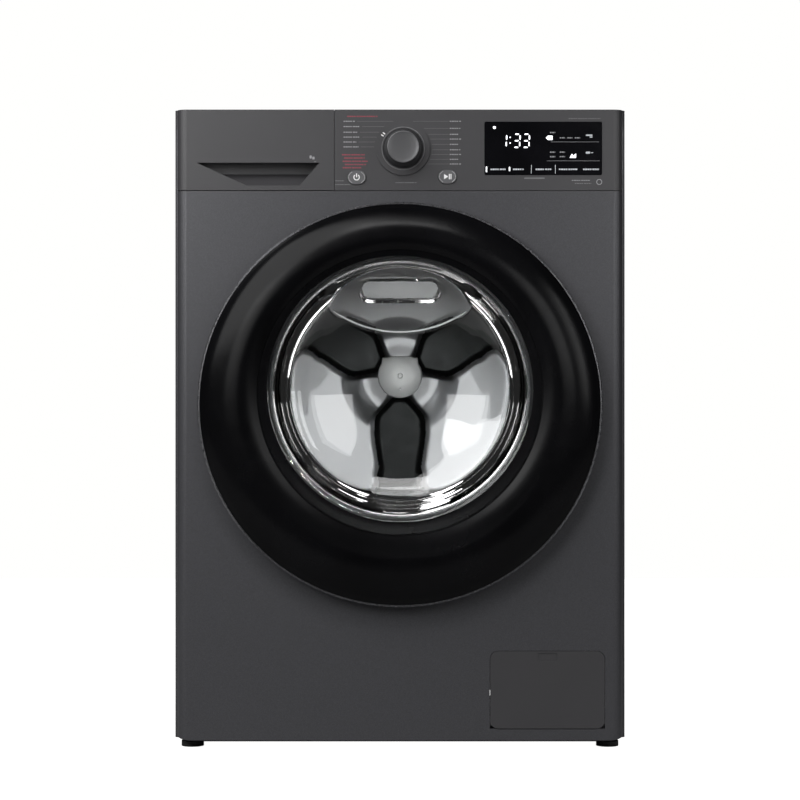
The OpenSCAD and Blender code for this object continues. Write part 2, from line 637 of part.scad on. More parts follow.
// Front ring: centred on the rim, cut out about the bowl, which stands higher
module door_ring() color([0.02, 0.02, 0.022]) {
    hole = bowl_r + 13;
    difference() {
        revolve(rim_z, [[0, door_y], [220, door_y], [232, door_y + 2.5], [244, door_y + 6],
            [255, door_y + 11], [rim_r - 5.5, rim_y - 8.7], [rim_r - 2.7, rim_y - 5],
            [rim_r - 2.7, rim_y], [rim_r - 5, rim_y],
            [rim_r - 5, rim_y - 3.5], [254, door_y + 14.5], [243, door_y + 9.5], [231, door_y + 6],
            [219, door_y + 3.5], [0, door_y + 3.5]]);
        revolve(bowl_z, [[0, door_y - 1], [hole + 6.5, door_y - 1], [hole, door_y + 9], [hole, rim_y],
            [0, rim_y]]);
    }
    difference() {
        revolve(bowl_z, [[hole, door_y + 16], [hole, door_y + 9], [hole + 5.8, door_y + 0.3],
            [hole + 9, door_y + 0.3], [hole + 3.2, door_y + 10], [hole + 3.2, door_y + 16]]);
        block(-300, door_y - 9, 0, 300, door_y, 800);
    }
}

module door_trim() color([0.7, 0.7, 0.72]) revolve(rim_z, [[rim_r - 2.5, rim_y - 4], [rim_r - 0.8, rim_y - 4],
    [rim_r, rim_y - 2.5], [rim_r, rim_y - 1], [rim_r - 0.8, rim_y], [rim_r - 2.5, rim_y]]);

// Rear shell of the door: plate, cone out to the rim, seat of the glass, hinge knuckle and hook box
module door_inner_frame() color([0.1, 0.1, 0.105]) difference() {
    union() {
        difference() {
            revolve(rim_z, [[0, frame_y], [226, frame_y], [rim_r - 5.2, rim_y - 0.2],
                [rim_r - 5.2, rim_y - 3], [225, frame_y - 3], [0, frame_y - 3]]);
            bar_y(0, bowl_z, bowl_r + 2, door_y, front_y);
        }
        tube_y(0, bowl_z, bowl_r + 5.5, bowl_r + 0.6, -289.7, frame_y);
        bar_z(hinge_x, hinge_y, 6.5, hinge_z - 38, hinge_z + 38);
        block(hinge_x + 2, hinge_y - 4, hinge_z - 36, hinge_x + 22, hinge_y + 4, hinge_z + 36);
        block(hinge_x + 20, hinge_y - 2, hinge_z - 36, hinge_x + 26, frame_y - 1, hinge_z + 36);
        block(hook_x - 11, frame_y - 18, bowl_z - 14, hook_x + 12, frame_y - 1, bowl_z + 14);
    }
    for (s = [-1, 1]) translate([0, 0, hinge_z + s * 46])
        block(hinge_x - 16, hinge_y - 12, -9, hinge_x + 45, front_y, 9);
    bar_z(hinge_x, hinge_y, pin_r + fit, hinge_z - 60, hinge_z + 60);
    block(hook_x - 9, frame_y - 16, bowl_z - 11, hook_x + 10, frame_y + 2, bowl_z + 11);
    bar_z(hook_x, frame_y - 8, 2 + fit, bowl_z - 20, bowl_z + 20);
}

// Deep bowl that pushes the wash back into the drum
module door_glass() color([0.75, 0.8, 0.82, 0.5]) revolve(bowl_z, [[bowl_r + 12, -296], [bowl_r + 12, -290],
    [bowl_r, -290], [bowl_r - 4, -262], [bowl_r - 12, -232], [bowl_r - 25, -212], [bowl_r - 42, -201],
    [bowl_r - 62, -193], [70, -190], [0, -189], [0, -194], [70, -195], [bowl_r - 65, -198],
    [bowl_r - 46, -206], [bowl_r - 31, -216], [bowl_r - 18, -234], [bowl_r - 10, -262], [bowl_r - 5, -292],
    [bowl_r - 1, -296]]);

module door_hook() color([0.75, 0.75, 0.77]) {
    bar_z(hook_x, frame_y - 8, 2, bowl_z - 13, bowl_z + 13);
    bar_z(hook_x, frame_y - 8, 4.5, bowl_z - 8, bowl_z + 8);
    block(hook_x - 2.5, frame_y - 8, bowl_z - 8, hook_x + 2.5, front_y + 28, bowl_z + 8);
    translate([0, 0, bowl_z - 8]) linear_extrude(16) polygon([[hook_x + 2, front_y + 18],
        [hook_x + 9, front_y + 19], [hook_x + 9, front_y + 21], [hook_x + 1, front_y + 29],
        [hook_x - 2.5, front_y + 28]]);
}

// ---- Controls ----

module knob() color([0.2, 0.2, 0.21]) {
    revolve_at(knob_x, knob_z, [[0, front_y - 24], [19, front_y - 24], [21, front_y - 23],
        [knob_r - 2.5, front_y - 6], [knob_r, front_y - 2.5], [knob_r, front_y - 0.4], [0, front_y - 0.4]]);
    bar_y(knob_x, knob_z, 3, front_y - 0.5, front_y + 8);
}
module revolve_at(x, z, points) {
    translate([x, 0, 0]) revolve(z, points);
}

module key(p) {
    along_y(front_y - 1.8, front_y + 3.5) button_outline(p, 0);
    bar_y(p[0], p[1], 2, front_y + 3.4, front_y + 4.3);
}
module power_button() color([0.3, 0.3, 0.31]) key(power_at);
module start_button() color([0.3, 0.3, 0.31]) key(start_at);

// ---- Detergent drawer ----

// Outline of the scooped grip, grown by g
module scoop(g) intersection() {
    along_y(front_y - 1, front_y + 40) polygon([[-270 - g, 791 + g], [-107 + g, 791 + g], [-107 + g, 779 - g],
        [-134 + g, 748 - g], [-202 - g, 748 - g], [-270 - g, 779 - g]]);
    along_x(-290, -95) polygon([[front_y - 1 - g, 748 - g], [front_y + 25 + g, 766 - g],
        [front_y + 25 + g, 789 + g],
        [front_y + 4.5 - g, 789 + g], [front_y + 4.5 - g, 779], [front_y - 1 - g, 779]]);
}
module drawer_front() color([0.3, 0.295, 0.3]) difference() {
    union() {
        translate([0, 0, fascia_low + 0.3]) linear_extrude(fascia_top - fascia_low - 0.3)
            drawer_plan(0, 0);
        intersection() {
            scoop(2.5);
            block(-300, front_y + 0.5, fascia_low + 0.3, drawer_x, 0, fascia_top);
        }
    }
    difference() {
        translate([0, 0, fascia_low + 2.8]) linear_extrude(fascia_top - fascia_low - 5.3) drawer_plan(2.5, 1);
        scoop(2.5);
    }
    scoop(0);
}
module drawer_plan(t, back) {
    r = corner_r - t;
    polygon(concat([[drawer_x - t, front_y + t], [drawer_x - t, carrier_y - 0.3 + back]],
        [[-skin_half + t, carrier_y - 0.3 + back]],
        arc(-skin_half + corner_r, front_y + corner_r, r, 180, 270, 8)));
}

// Three compartments open at the top, with the arms that hold the front
module drawer_tray() color([0.88, 0.89, 0.9]) {
    difference() {
        block(-280, front_y + 29.5, 764, -96, 0, 822);
        block(-278, front_y + 31.5, 766, -214, -2, 823);
        block(-212, front_y + 31.5, 766, -152, -2, 823);
        block(-150, front_y + 31.5, 766, -98, -2, 823);
    }
    for (x = [-280, -98]) block(x, front_y + 2.6, 768, x + 2, front_y + 29.6, 820);
}

module siphon_cover() color([0.25, 0.35, 0.6]) {
    block(-211.8, -90, 812, -152.2, -10, 814);
    bar_z(-182, -50, 9, 790, 812.1);
}

// ---- Pump and its filter ----

module pump_body() color([0.85, 0.85, 0.83]) difference() {
    union() {
        bar_y(pump_x, pump_z, 32, -232, -150);
        bar_y(pump_x, pump_z, 26, -150.1, -98);
        bar_z(pump_x, -190, 18, pump_z + 20, pump_z + 46);
        translate([pump_x - 50, -172, pump_z + 7]) rotate([0, 90, 0]) cylinder(r = 9, h = 30);
        block(pump_x - 22, -215, 52, pump_x + 22, -135, 60);
    }
    bar_y(pump_x, pump_z, 27, -233, -156);
    bar_z(pump_x, -190, 14, pump_z, pump_z + 60);
    translate([pump_x - 51, -172, pump_z + 7]) rotate([0, 90, 0]) cylinder(r = 6.5, h = 40);
    bar_y(pump_x, pump_z, 3 + fit, -157, -130);
}
module pump_impeller() color([0.15, 0.15, 0.16]) {
    bar_y(pump_x, pump_z, 3, -162, -131);
    bar_y(pump_x, pump_z, 8, -168, -158);
    for (a = [0:45:135]) translate([pump_x, 0, pump_z]) rotate([0, a, 0])
        block(-1.2, -168, -20, 1.2, -158, 20);
}
module pump_filter() color([0.86, 0.86, 0.86]) {
    difference() {
        bar_y(pump_x, pump_z, 27 - fit, -236, -172);
        bar_y(pump_x, pump_z, 24, -228, -171);
        bar_z(pump_x, -190, 13, pump_z, pump_z + 40);
        translate([pump_x, 0, pump_z]) for (a = [90:45:270]) rotate([0, a, 0])
            block(-5, -222, 10, 5, -180, 40);
    }
    bar_y(pump_x, pump_z, 34, -238, -233.5);
    block(pump_x - 30, -250, pump_z - 4, pump_x + 30, -237.9, pump_z + 4);
}

module sump_hose() color([0.12, 0.12, 0.13]) hose(smooth([[spout[0], spout[1], 258],
    [spout[0], spout[1], 248], [spout[0], spout[1], 236], [67, -94, 212], [95, -115, 192],
    [138, -148, 183], [172, -175, 176], [191, -187, 159], [pump_x, -190, 142], [pump_x, -190, 130],
    [pump_x, -190, 118]], 2), 23, 19.4, 14);
module drain_hose() color([0.35, 0.35, 0.36]) hose(smooth([[pump_x - 33, -172, pump_z + 7],
    [pump_x - 48, -172, pump_z + 7], [pump_x - 64, -172, pump_z + 7], [100, -158, 84], [75, -110, 74],
    [62, -20, 68], [45, 70, 66], [5, 165, 66], [-75, 225, 66], [-165, 252, 70], [-222, 260, 88],
    [-248, 262, 130], [-250, 262, 200], [-250, 262, 400], [-250, 262, 600], [-250, 262, 690],
    [-249, 266, 725], [-245, 277, 752], [drain_end[0], 290, drain_end[1]],
    [drain_end[0], shell_rear + 1.6, drain_end[1]]], 2), 12, 9.8, 10);
// Concertina hose from the dispenser down to the tub
module fill_hose() color([0.12, 0.12, 0.13]) translate([fill[0], fill[1], 0]) rotate_extrude()
    polygon(concat([[14.4, 757], [14.4, 668]],
    [for (i = [0:10]) each [[16.5, 668 + i * 8.4], [19, 670 + i * 8.4]]], [[16.5, 757]]));

// Drop-down cover at the lower right, on two hinge lugs
module service_flap() color([0.29, 0.29, 0.3]) difference() {
    union() {
        along_y(front_y - 0.2, front_y + 2) polygon(rrect(flap_x0, flap_z0 + 1, flap_x1, flap_z1, 10.5));
        for (x = [flap_x0 + 8, flap_x1 - 14]) {
            bar_x(x, x + 6, front_y + 4, flap_z0 + 6, 3);
            block(x, front_y + 1.9, flap_z0 + 3, x + 6, front_y + 4, flap_z0 + 9);
        }
    }
    block(183, front_y - 1, 118.3, 208.7, front_y + 0.8, 128);
}

// ---- Feet ----

module foot(x, y) {
    bar_z(x, y, foot_r, 0, 7);
    translate([x, y, 6.9]) cylinder(r = 7, h = face_low - 6.9 + 1.5, $fn = 6);
    bar_z(x, y, 5, 13, 50);
}
module foot_front_left() color([0.1, 0.1, 0.1]) foot(-foot_x, foot_y[0]);
module foot_front_right() color([0.1, 0.1, 0.1]) foot(foot_x, foot_y[0]);
module foot_rear_left() color([0.1, 0.1, 0.1]) foot(-foot_x, foot_y[1]);
module foot_rear_right() color([0.1, 0.1, 0.1]) foot(foot_x, foot_y[1]);

cabinet_shell();
back_cover();
base_frame();
top_frame();
top_panel();
front_panel();
control_panel();
display_window();
display_board();
main_control_box();
dispenser_housing();
inlet_valve();
valve_hoses();
hinge_bracket();
door_lock();
gasket();
gasket_clamp();
suspension_springs();
damper_tubes();
pump_body();
sump_hose();
drain_hose();
fill_hose();
pressure_sensor();
mains_gland();
cabinet_screws();
transit_plugs();
tub_front();
tub_rear();
counterweights();
damper_rods();
bearings();
shaft_seal();
stator();
heater();
drum_shell();
drum_back();
spider_and_shaft();
drum_lifters();
hub_cap();
rotor();
rotor_nut();
door_ring();
door_trim();
door_inner_frame();
door_glass();
door_hook();
knob();
power_button();
start_button();
drawer_front();
drawer_tray();
siphon_cover();
service_flap();
pump_filter();
pump_impeller();
foot_front_left();
foot_front_right();
foot_rear_left();
foot_rear_right();
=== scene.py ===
"""Looks of the front loading washing machine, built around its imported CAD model."""
import math

import bpy
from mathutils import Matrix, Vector


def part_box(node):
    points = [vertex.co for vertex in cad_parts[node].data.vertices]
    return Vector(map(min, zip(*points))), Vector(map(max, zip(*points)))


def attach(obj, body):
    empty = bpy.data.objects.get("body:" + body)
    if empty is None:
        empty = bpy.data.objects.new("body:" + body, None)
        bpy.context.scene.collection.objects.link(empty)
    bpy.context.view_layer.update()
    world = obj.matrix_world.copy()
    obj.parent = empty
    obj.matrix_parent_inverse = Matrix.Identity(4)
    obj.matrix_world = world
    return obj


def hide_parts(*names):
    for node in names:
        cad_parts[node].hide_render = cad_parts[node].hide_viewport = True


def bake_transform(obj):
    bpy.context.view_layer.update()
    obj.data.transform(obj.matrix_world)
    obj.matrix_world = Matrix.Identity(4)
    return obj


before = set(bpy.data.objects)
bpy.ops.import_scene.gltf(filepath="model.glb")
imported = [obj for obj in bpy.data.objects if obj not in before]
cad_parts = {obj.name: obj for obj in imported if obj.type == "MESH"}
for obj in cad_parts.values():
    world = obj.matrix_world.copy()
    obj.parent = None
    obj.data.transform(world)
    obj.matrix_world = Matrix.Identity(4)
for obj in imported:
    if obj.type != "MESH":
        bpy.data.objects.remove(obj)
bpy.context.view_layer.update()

MM = 0.001
TAU = 2 * math.pi


def middle(node):
    """Centre of a CAD node's box."""
    low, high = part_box(node)
    return (low + high) / 2


def half_width(node):
    """Half of a CAD node's extent in X, the radius of a round one."""
    low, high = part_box(node)
    return (high.x - low.x) / 2


def smooth_step(x):
    """0 below 0, 1 above 1, and an even S between."""
    x = max(0.0, min(1.0, x))
    return x * x * (3 - 2 * x)


# Places taken from the CAD model, in metres
FRONT_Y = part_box("front_panel")[0].y
DOOR_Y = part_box("door_ring")[0].y
RIM = middle("door_trim")
RIM_R = half_width("door_trim")
RIM_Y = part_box("door_trim")[1].y
BOWL = middle("door_glass")
FLANGE_R = half_width("door_glass")
GLASS_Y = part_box("door_glass")[0].y
BOWL_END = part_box("door_glass")[1].y
DRUM = middle("drum_shell")
DRUM_R = half_width("drum_shell")
DRUM_Y0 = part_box("drum_shell")[0].y
DRUM_Y1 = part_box("drum_shell")[1].y
HUB = middle("hub_cap")
KNOB = middle("knob")


# ---- Mesh tools ----

def mesh_piece(name, verts, faces, material, smooth=True):
    """A mesh object from vertices in metres."""
    mesh = bpy.data.meshes.new(name)
    mesh.from_pydata([tuple(v) for v in verts], [], faces)
    mesh.validate()
    mesh.polygons.foreach_set("use_smooth", [smooth] * len(mesh.polygons))
    piece = bpy.data.objects.new(name, mesh)
    bpy.context.collection.objects.link(piece)
    mesh.materials.append(material)
    return piece


def catmull(points, steps):
    """A smooth curve through control points of any dimension."""
    count = len(points)
    out = []
    for i in range(count - 1):
        before, start = points[max(i - 1, 0)], points[i]
        end, after = points[i + 1], points[min(i + 2, count - 1)]
        for j in range(steps):
            t = j / steps
            out.append(tuple(
                0.5 * (2 * q + (r - p) * t + (2 * p - 5 * q + 4 * r - s) * t * t
                       + (3 * q - p - 3 * r + s) * t ** 3)
                for p, q, r, s in zip(before, start, end, after)))
    out.append(tuple(points[-1]))
    return out


def loop_faces(rings, around, closed):
    """Quads between rings of points; a closed loop joins the last ring to the first."""
    faces = []
    for i in range(rings if closed else rings - 1):
        below, above = i * around, ((i + 1) % rings) * around
        for k in range(around):
            n = (k + 1) % around
            faces.append((below + k, below + n, above + n, above + k))
    return faces


def lathe(name, profile, material, around=192, closed=True, x=0.0):
    """A ring about the Y direction from (radius, y, centre height) stations, which may be eccentric."""
    verts = []
    for radius, y, z in profile:
        for k in range(around):
            a = TAU * k / around
            verts.append((x + radius * math.cos(a), y, z + radius * math.sin(a)))
    return mesh_piece(name, verts, loop_faces(len(profile), around, closed), material)


def crease(piece, angle=30):
    """Sharp shading where faces meet at more than the given angle."""
    mesh = piece.data
    mesh.polygons.foreach_set("use_smooth", [True] * len(mesh.polygons))
    mesh.set_sharp_from_angle(angle=math.radians(angle))
    return piece


def soften(piece, width):
    """Rounds the sharp edges of a CAD node."""
    mod = piece.modifiers.new("Bevel", "BEVEL")
    mod.width = width
    mod.segments = 2
    mod.limit_method = "ANGLE"
    mod.angle_limit = math.radians(30)
    mod.harden_normals = True


def rounded(x0, z0, x1, z1, r, steps=8):
    """Outline of a rectangle with round corners."""
    out = []
    corners = ((x1 - r, z0 + r, -90), (x1 - r, z1 - r, 0), (x0 + r, z1 - r, 90), (x0 + r, z0 + r, 180))
    for cx, cz, a0 in corners:
        for i in range(steps + 1):
            a = math.radians(a0 + 90 * i / steps)
            out.append((cx + r * math.cos(a), cz + r * math.sin(a)))
    return out


def plate(name, outline, y0, y1, material, edge=0.0):
    """A flat piece facing -Y: an XZ outline from y0 (front) to y1, with a softened front edge."""
    n = len(outline)
    cx = sum(p[0] for p in outline) / n
    cz = sum(p[1] for p in outline) / n
    rings = []
    insets = [(0, y1), (0, y0)]
    if edge:
        insets = [(0, y1), (0, y0 + edge), (edge * 0.3, y0 + edge * 0.3), (edge, y0)]
    for inset, y in insets:
        ring = []
        for x, z in outline:
            d = math.hypot(x - cx, z - cz) or 1.0
            ring.append((x - inset * (x - cx) / d, y, z - inset * (z - cz) / d))
        rings.append(ring)
    verts = [v for ring in rings for v in ring]
    faces = []
    for i in range(len(rings) - 1):
        for k in range(n):
            m = (k + 1) % n
            faces.append((i * n + k, (i + 1) * n + k, (i + 1) * n + m, i * n + m))
    faces.append(tuple(range(n)))
    faces.append(tuple(reversed(range((len(rings) - 1) * n, len(rings) * n))))
    return crease(mesh_piece(name, verts, faces, material), 40)


def join(name, parts):
    """Joins meshes into one piece."""
    bpy.ops.object.select_all(action="DESELECT")
    for p in parts:
        p.select_set(True)
    bpy.context.view_layer.objects.active = parts[0]
    bpy.ops.object.join()
    parts[0].name = name
    return parts[0]


# ---- Materials ----

def new_material(name):
    """A material with its node and link lists and its Principled shader."""
    mat = bpy.data.materials.new(name)
    mat.use_nodes = True
    return mat, mat.node_tree.nodes, mat.node_tree.links, mat.node_tree.nodes["Principled BSDF"]


def noise_node(nodes, links, coords, scale, detail=3.0, stretch=None):
    """Noise in object space, in cycles per metre, with an optional stretch."""
    noise = nodes.new("ShaderNodeTexNoise")
    noise.inputs["Scale"].default_value = scale
    noise.inputs["Detail"].default_value = detail
    if stretch:
        mapping = nodes.new("ShaderNodeMapping")
        mapping.inputs["Scale"].default_value = stretch
        links.new(coords, mapping.inputs["Vector"])
        links.new(mapping.outputs["Vector"], noise.inputs["Vector"])
    else:
        links.new(coords, noise.inputs["Vector"])
    return noise.outputs["Fac"]


def ramp(nodes, links, value, low, high, a=0.35, b=0.65):
    """Colour from low to high as the value goes from a to b."""
    node = nodes.new("ShaderNodeValToRGB")
    node.color_ramp.elements[0].position = a
    node.color_ramp.elements[1].position = b
    node.color_ramp.elements[0].color = (*low, 1)
    node.color_ramp.elements[1].color = (*high, 1)
    links.new(value, node.inputs["Fac"])
    return node.outputs["Color"]


def spread(nodes, links, value, low, high):
    """Noise stretched to run from low to high."""
    node = nodes.new("ShaderNodeMapRange")
    node.inputs["From Min"].default_value = 0.3
    node.inputs["From Max"].default_value = 0.7
    node.inputs["To Min"].default_value = low
    node.inputs["To Max"].default_value = high
    links.new(value, node.inputs["Value"])
    return node.outputs["Result"]


def emboss(nodes, links, shader, height, strength, distance):
    """Bumps a shader's normal by a height texture."""
    node = nodes.new("ShaderNodeBump")
    node.inputs["Strength"].default_value = strength
    node.inputs["Distance"].default_value = distance
    links.new(height, node.inputs["Height"])
    links.new(node.outputs["Normal"], shader.inputs["Normal"])


def surface(name, colour, rough, metallic=0.0, vary=0.08, cloud=9.0, grain=900.0, bump=0.05,
            rough_vary=0.05, stretch=None, specular=0.5, depth=0.0002):
    """A moulded, painted or metal surface: soft clouding of the colour, fine grain in bump and gloss."""
    mat, nodes, links, shader = new_material(name)
    coords = nodes.new("ShaderNodeTexCoord").outputs["Object"]
    clouds = noise_node(nodes, links, coords, cloud, 4.0)
    fine = noise_node(nodes, links, coords, grain, 2.0, stretch)
    low = tuple(c * (1 - vary) for c in colour)
    high = tuple(min(1.0, c * (1 + vary)) for c in colour)
    links.new(ramp(nodes, links, clouds, low, high), shader.inputs["Base Color"])
    links.new(spread(nodes, links, fine, rough - rough_vary, rough + rough_vary), shader.inputs["Roughness"])
    shader.inputs["Metallic"].default_value = metallic
    shader.inputs["Specular IOR Level"].default_value = specular
    if bump:
        emboss(nodes, links, shader, fine, bump, depth)
    return mat


def flake_paint(name, colour):
    """Metallic enamel: a dark coat with fine bright flakes."""
    mat, nodes, links, shader = new_material(name)
    coords = nodes.new("ShaderNodeTexCoord").outputs["Object"]
    flakes = nodes.new("ShaderNodeTexVoronoi")
    flakes.inputs["Scale"].default_value = 1400
    links.new(coords, flakes.inputs["Vector"])
    base = tuple(c * 0.9 for c in colour)
    bright = tuple(min(1, c * 1.25) for c in colour)
    fleck = ramp(nodes, links, flakes.outputs["Color"], base, bright, 0.2, 0.9)
    links.new(fleck, shader.inputs["Base Color"])
    peel = noise_node(nodes, links, coords, 260, 2.0)
    links.new(spread(nodes, links, peel, 0.36, 0.42), shader.inputs["Roughness"])
    shader.inputs["Metallic"].default_value = 0.35
    emboss(nodes, links, shader, peel, 0.04, 0.0003)
    return mat


def glow(name, colour, strength):
    """A lit mark on the display, slightly uneven as a diffuser is."""
    mat, nodes, links, shader = new_material(name)
    coords = nodes.new("ShaderNodeTexCoord").outputs["Object"]
    soft = noise_node(nodes, links, coords, 120, 2.0)
    tone = ramp(nodes, links, soft, tuple(c * 0.85 for c in colour), colour)
    links.new(tone, shader.inputs["Base Color"])
    links.new(tone, shader.inputs["Emission Color"])
    shader.inputs["Emission Strength"].default_value = strength
    return mat


def clear_glass(name, clear=1.0, rough=0.0):
    """Pressed glass: clear to light rays so the drum behind it is lit, with a trace of waviness."""
    mat, nodes, links, shader = new_material(name)
    coords = nodes.new("ShaderNodeTexCoord").outputs["Object"]
    waves = noise_node(nodes, links, coords, 30, 1.0)
    shader.inputs["Base Color"].default_value = (0.955, 0.965, 0.965, 1)
    shader.inputs["Transmission Weight"].default_value = clear
    shader.inputs["IOR"].default_value = 1.48
    links.new(spread(nodes, links, waves, rough, rough + 0.015), shader.inputs["Roughness"])
    emboss(nodes, links, shader, waves, 0.02, 0.001)
    path = nodes.new("ShaderNodeLightPath")
    through = nodes.new("ShaderNodeBsdfTransparent")
    through.inputs["Color"].default_value = (0.92, 0.93, 0.93, 1)
    mix = nodes.new("ShaderNodeMixShader")
    links.new(path.outputs["Is Shadow Ray"], mix.inputs["Fac"])
    links.new(shader.outputs["BSDF"], mix.inputs[1])
    links.new(through.outputs["BSDF"], mix.inputs[2])
    links.new(mix.outputs["Shader"], nodes["Material Output"].inputs["Surface"])
    return mat


def lit_floor(name):
    """A pale floor, lit from behind as seen by the camera, so that it sheds little light itself."""
    mat, nodes, links, shader = new_material(name)
    coords = nodes.new("ShaderNodeTexCoord").outputs["Object"]
    clouds = noise_node(nodes, links, coords, 1.5, 2.0)
    links.new(ramp(nodes, links, clouds, (0.3, 0.3, 0.3), (0.31, 0.31, 0.31)), shader.inputs["Base Color"])
    shader.inputs["Roughness"].default_value = 0.9
    shader.inputs["Emission Color"].default_value = (1.0, 1.0, 0.99, 1)
    path = nodes.new("ShaderNodeLightPath")
    links.new(path.outputs["Is Camera Ray"], shader.inputs["Emission Strength"])
    return mat


body_paint = flake_paint("body_paint", (0.066, 0.066, 0.072))
panel_plastic = surface("panel_plastic", (0.046, 0.045, 0.048), 0.42, vary=0.04, grain=1500, bump=0.08)
worktop_finish = surface("worktop_finish", (0.045, 0.045, 0.048), 0.5, vary=0.05, grain=1100, bump=0.15)
door_gloss = surface("door_gloss", (0.003, 0.003, 0.0035), 0.24, vary=0.3, grain=60, bump=0.01,
                     rough_vary=0.02, specular=0.13)
door_back = surface("door_back", (0.02, 0.02, 0.021), 0.5, vary=0.1, grain=700, bump=0.2)
trim_metal = surface("trim_metal", (0.42, 0.42, 0.44), 0.25, metallic=1.0, vary=0.05, grain=2000, bump=0.03)
steel = surface("drum_steel", (0.62, 0.63, 0.64), 0.16, metallic=1.0, vary=0.05, cloud=14, grain=300,
                bump=0.006, rough_vary=0.03, stretch=(1, 1, 6))
steel_back = surface("drum_back_steel", (0.6, 0.6, 0.61), 0.34, metallic=1.0, vary=0.04, cloud=10, grain=60,
                     bump=0, rough_vary=0.02)
# Petal floors: the back plate's steel darkened to near black, painted shade standing in for the dark
# reflection on their flat floors.
petal_painted_shade = surface("petal_painted_shade", (0.012, 0.0125, 0.0125), 0.3, metallic=1.0, vary=0.06, cloud=10,
                      grain=60, bump=0, rough_vary=0.02)
hub_plastic = surface("hub_grey", (0.84, 0.84, 0.83), 0.42, metallic=0.6, vary=0.04, grain=900, bump=0.1)
rubber = surface("bellows_rubber", (0.05, 0.05, 0.052), 0.5, vary=0.12, grain=800, bump=0.25)
knob_face = surface("knob_face", (0.1, 0.1, 0.104), 0.34, metallic=0.3, vary=0.06, grain=1600, bump=0.05)
knob_side = surface("knob_side", (0.035, 0.035, 0.037), 0.38, vary=0.06, grain=1600, bump=0.06)
key_face = surface("key_face", (0.1, 0.1, 0.105), 0.4, vary=0.04, grain=1400, bump=0.05)
print_white = surface("print_white", (0.62, 0.62, 0.62), 0.6, vary=0.06, grain=2500, bump=0.02)
print_bright = surface("print_bright", (0.85, 0.85, 0.85), 0.5, vary=0.04, grain=2500, bump=0.02)
print_faint = surface("print_faint", (0.17, 0.17, 0.175), 0.6, vary=0.06, grain=2500, bump=0.02)
display_grey = glow("display_grey", (0.2, 0.2, 0.21), 0.35)
print_grey = surface("print_grey", (0.3, 0.3, 0.31), 0.6, vary=0.06, grain=2500, bump=0.02)
print_red = surface("print_red", (0.28, 0.05, 0.07), 0.6, vary=0.06, grain=2500, bump=0.02)
display_black = surface("display_black", (0.004, 0.004, 0.005), 0.08, vary=0.3, grain=80, bump=0.01,
                        rough_vary=0.02)
digit_glow = glow("digit_glow", (0.95, 0.97, 1.0), 1.6)
icon_glow = glow("icon_glow", (0.5, 0.52, 0.55), 0.2)
glass = clear_glass("bowl_glass")
# Frosted glass for the boss; the bead along the facet's crease also wears it as a painted highlight.
frosted = clear_glass("frosted_boss", 0.62, 0.3)
zinc = surface("zinc_plate", (0.5, 0.51, 0.53), 0.35, metallic=1.0, vary=0.15, cloud=40, grain=300,
               bump=0.05)
cover_paint = surface("cover_paint", (0.34, 0.35, 0.36), 0.4, metallic=0.6, vary=0.03, cloud=30, grain=500,
                      bump=0.1)
white_plastic = surface("white_plastic", (0.68, 0.69, 0.69), 0.45, vary=0.04, grain=900, bump=0.1)
tub_plastic = surface("tub_plastic", (0.5, 0.52, 0.54), 0.55, vary=0.08, cloud=16, grain=700, bump=0.2)
hose_rubber = surface("hose_rubber", (0.025, 0.025, 0.027), 0.6, vary=0.15, grain=600, bump=0.2)
grey_hose = surface("grey_hose", (0.2, 0.2, 0.21), 0.5, vary=0.08, grain=700, bump=0.15)
dark_plastic = surface("dark_plastic", (0.03, 0.03, 0.032), 0.5, vary=0.1, grain=800, bump=0.15)
concrete = surface("concrete", (0.36, 0.35, 0.34), 0.9, vary=0.25, cloud=60, grain=250, bump=0.6,
                   depth=0.001)
floor_white = lit_floor("floor_white")
# Near black colour for the plate under the machine: painted shadow.
floor_painted_shadow = surface("floor_painted_shadow", (0.02, 0.02, 0.02), 0.9, bump=0)
copper = surface("copper_winding", (0.5, 0.22, 0.08), 0.35, metallic=0.8, vary=0.2, cloud=200, grain=1500,
                 bump=0.5, stretch=(1, 12, 1))
aluminium = surface("cast_aluminium", (0.55, 0.56, 0.57), 0.5, metallic=1.0, vary=0.1, cloud=40, grain=350,
                    bump=0.3)
board_green = surface("circuit_board", (0.02, 0.12, 0.05), 0.35, vary=0.2, cloud=120, grain=800, bump=0.1)
siphon_blue = surface("siphon_blue", (0.06, 0.14, 0.35), 0.4, vary=0.05, grain=900, bump=0.08)
foot_rubber = surface("foot_rubber", (0.018, 0.018, 0.018), 0.65, vary=0.15, grain=700, bump=0.25)

NODE_LOOKS = {
    body_paint: ["cabinet_shell", "front_panel"],
    cover_paint: ["back_cover"],
    zinc: ["base_frame", "top_frame", "hinge_bracket", "door_hook", "gasket_clamp", "damper_rods",
           "cabinet_screws", "rotor_nut", "bearings", "heater", "suspension_springs"],
    worktop_finish: ["top_panel"],
    panel_plastic: ["control_panel", "drawer_front", "service_flap"],
    display_black: ["display_window"],
    board_green: ["display_board"],
    white_plastic: ["main_control_box", "pressure_sensor", "pump_body", "dispenser_housing", "drawer_tray",
                    "inlet_valve", "pump_filter"],
    hose_rubber: ["valve_hoses", "sump_hose", "fill_hose", "mains_gland", "shaft_seal"],
    grey_hose: ["drain_hose"],
    dark_plastic: ["door_lock", "damper_tubes", "pump_impeller", "transit_plugs"],
    tub_plastic: ["tub_front", "tub_rear"],
    concrete: ["counterweights"],
    copper: ["stator"],
    aluminium: ["spider_and_shaft", "rotor"],
    door_back: ["door_inner_frame"],
    siphon_blue: ["siphon_cover"],
    foot_rubber: ["foot_front_left", "foot_front_right", "foot_rear_left", "foot_rear_right"],
    steel: ["drum_lifters", "drum_shell", "drum_back"],
    hub_plastic: ["hub_cap"],
    knob_side: ["knob"],
    key_face: ["power_button", "start_button"],
    door_gloss: ["door_ring"],
    trim_metal: ["door_trim"],
    glass: ["door_glass"],
    rubber: ["gasket"],
}
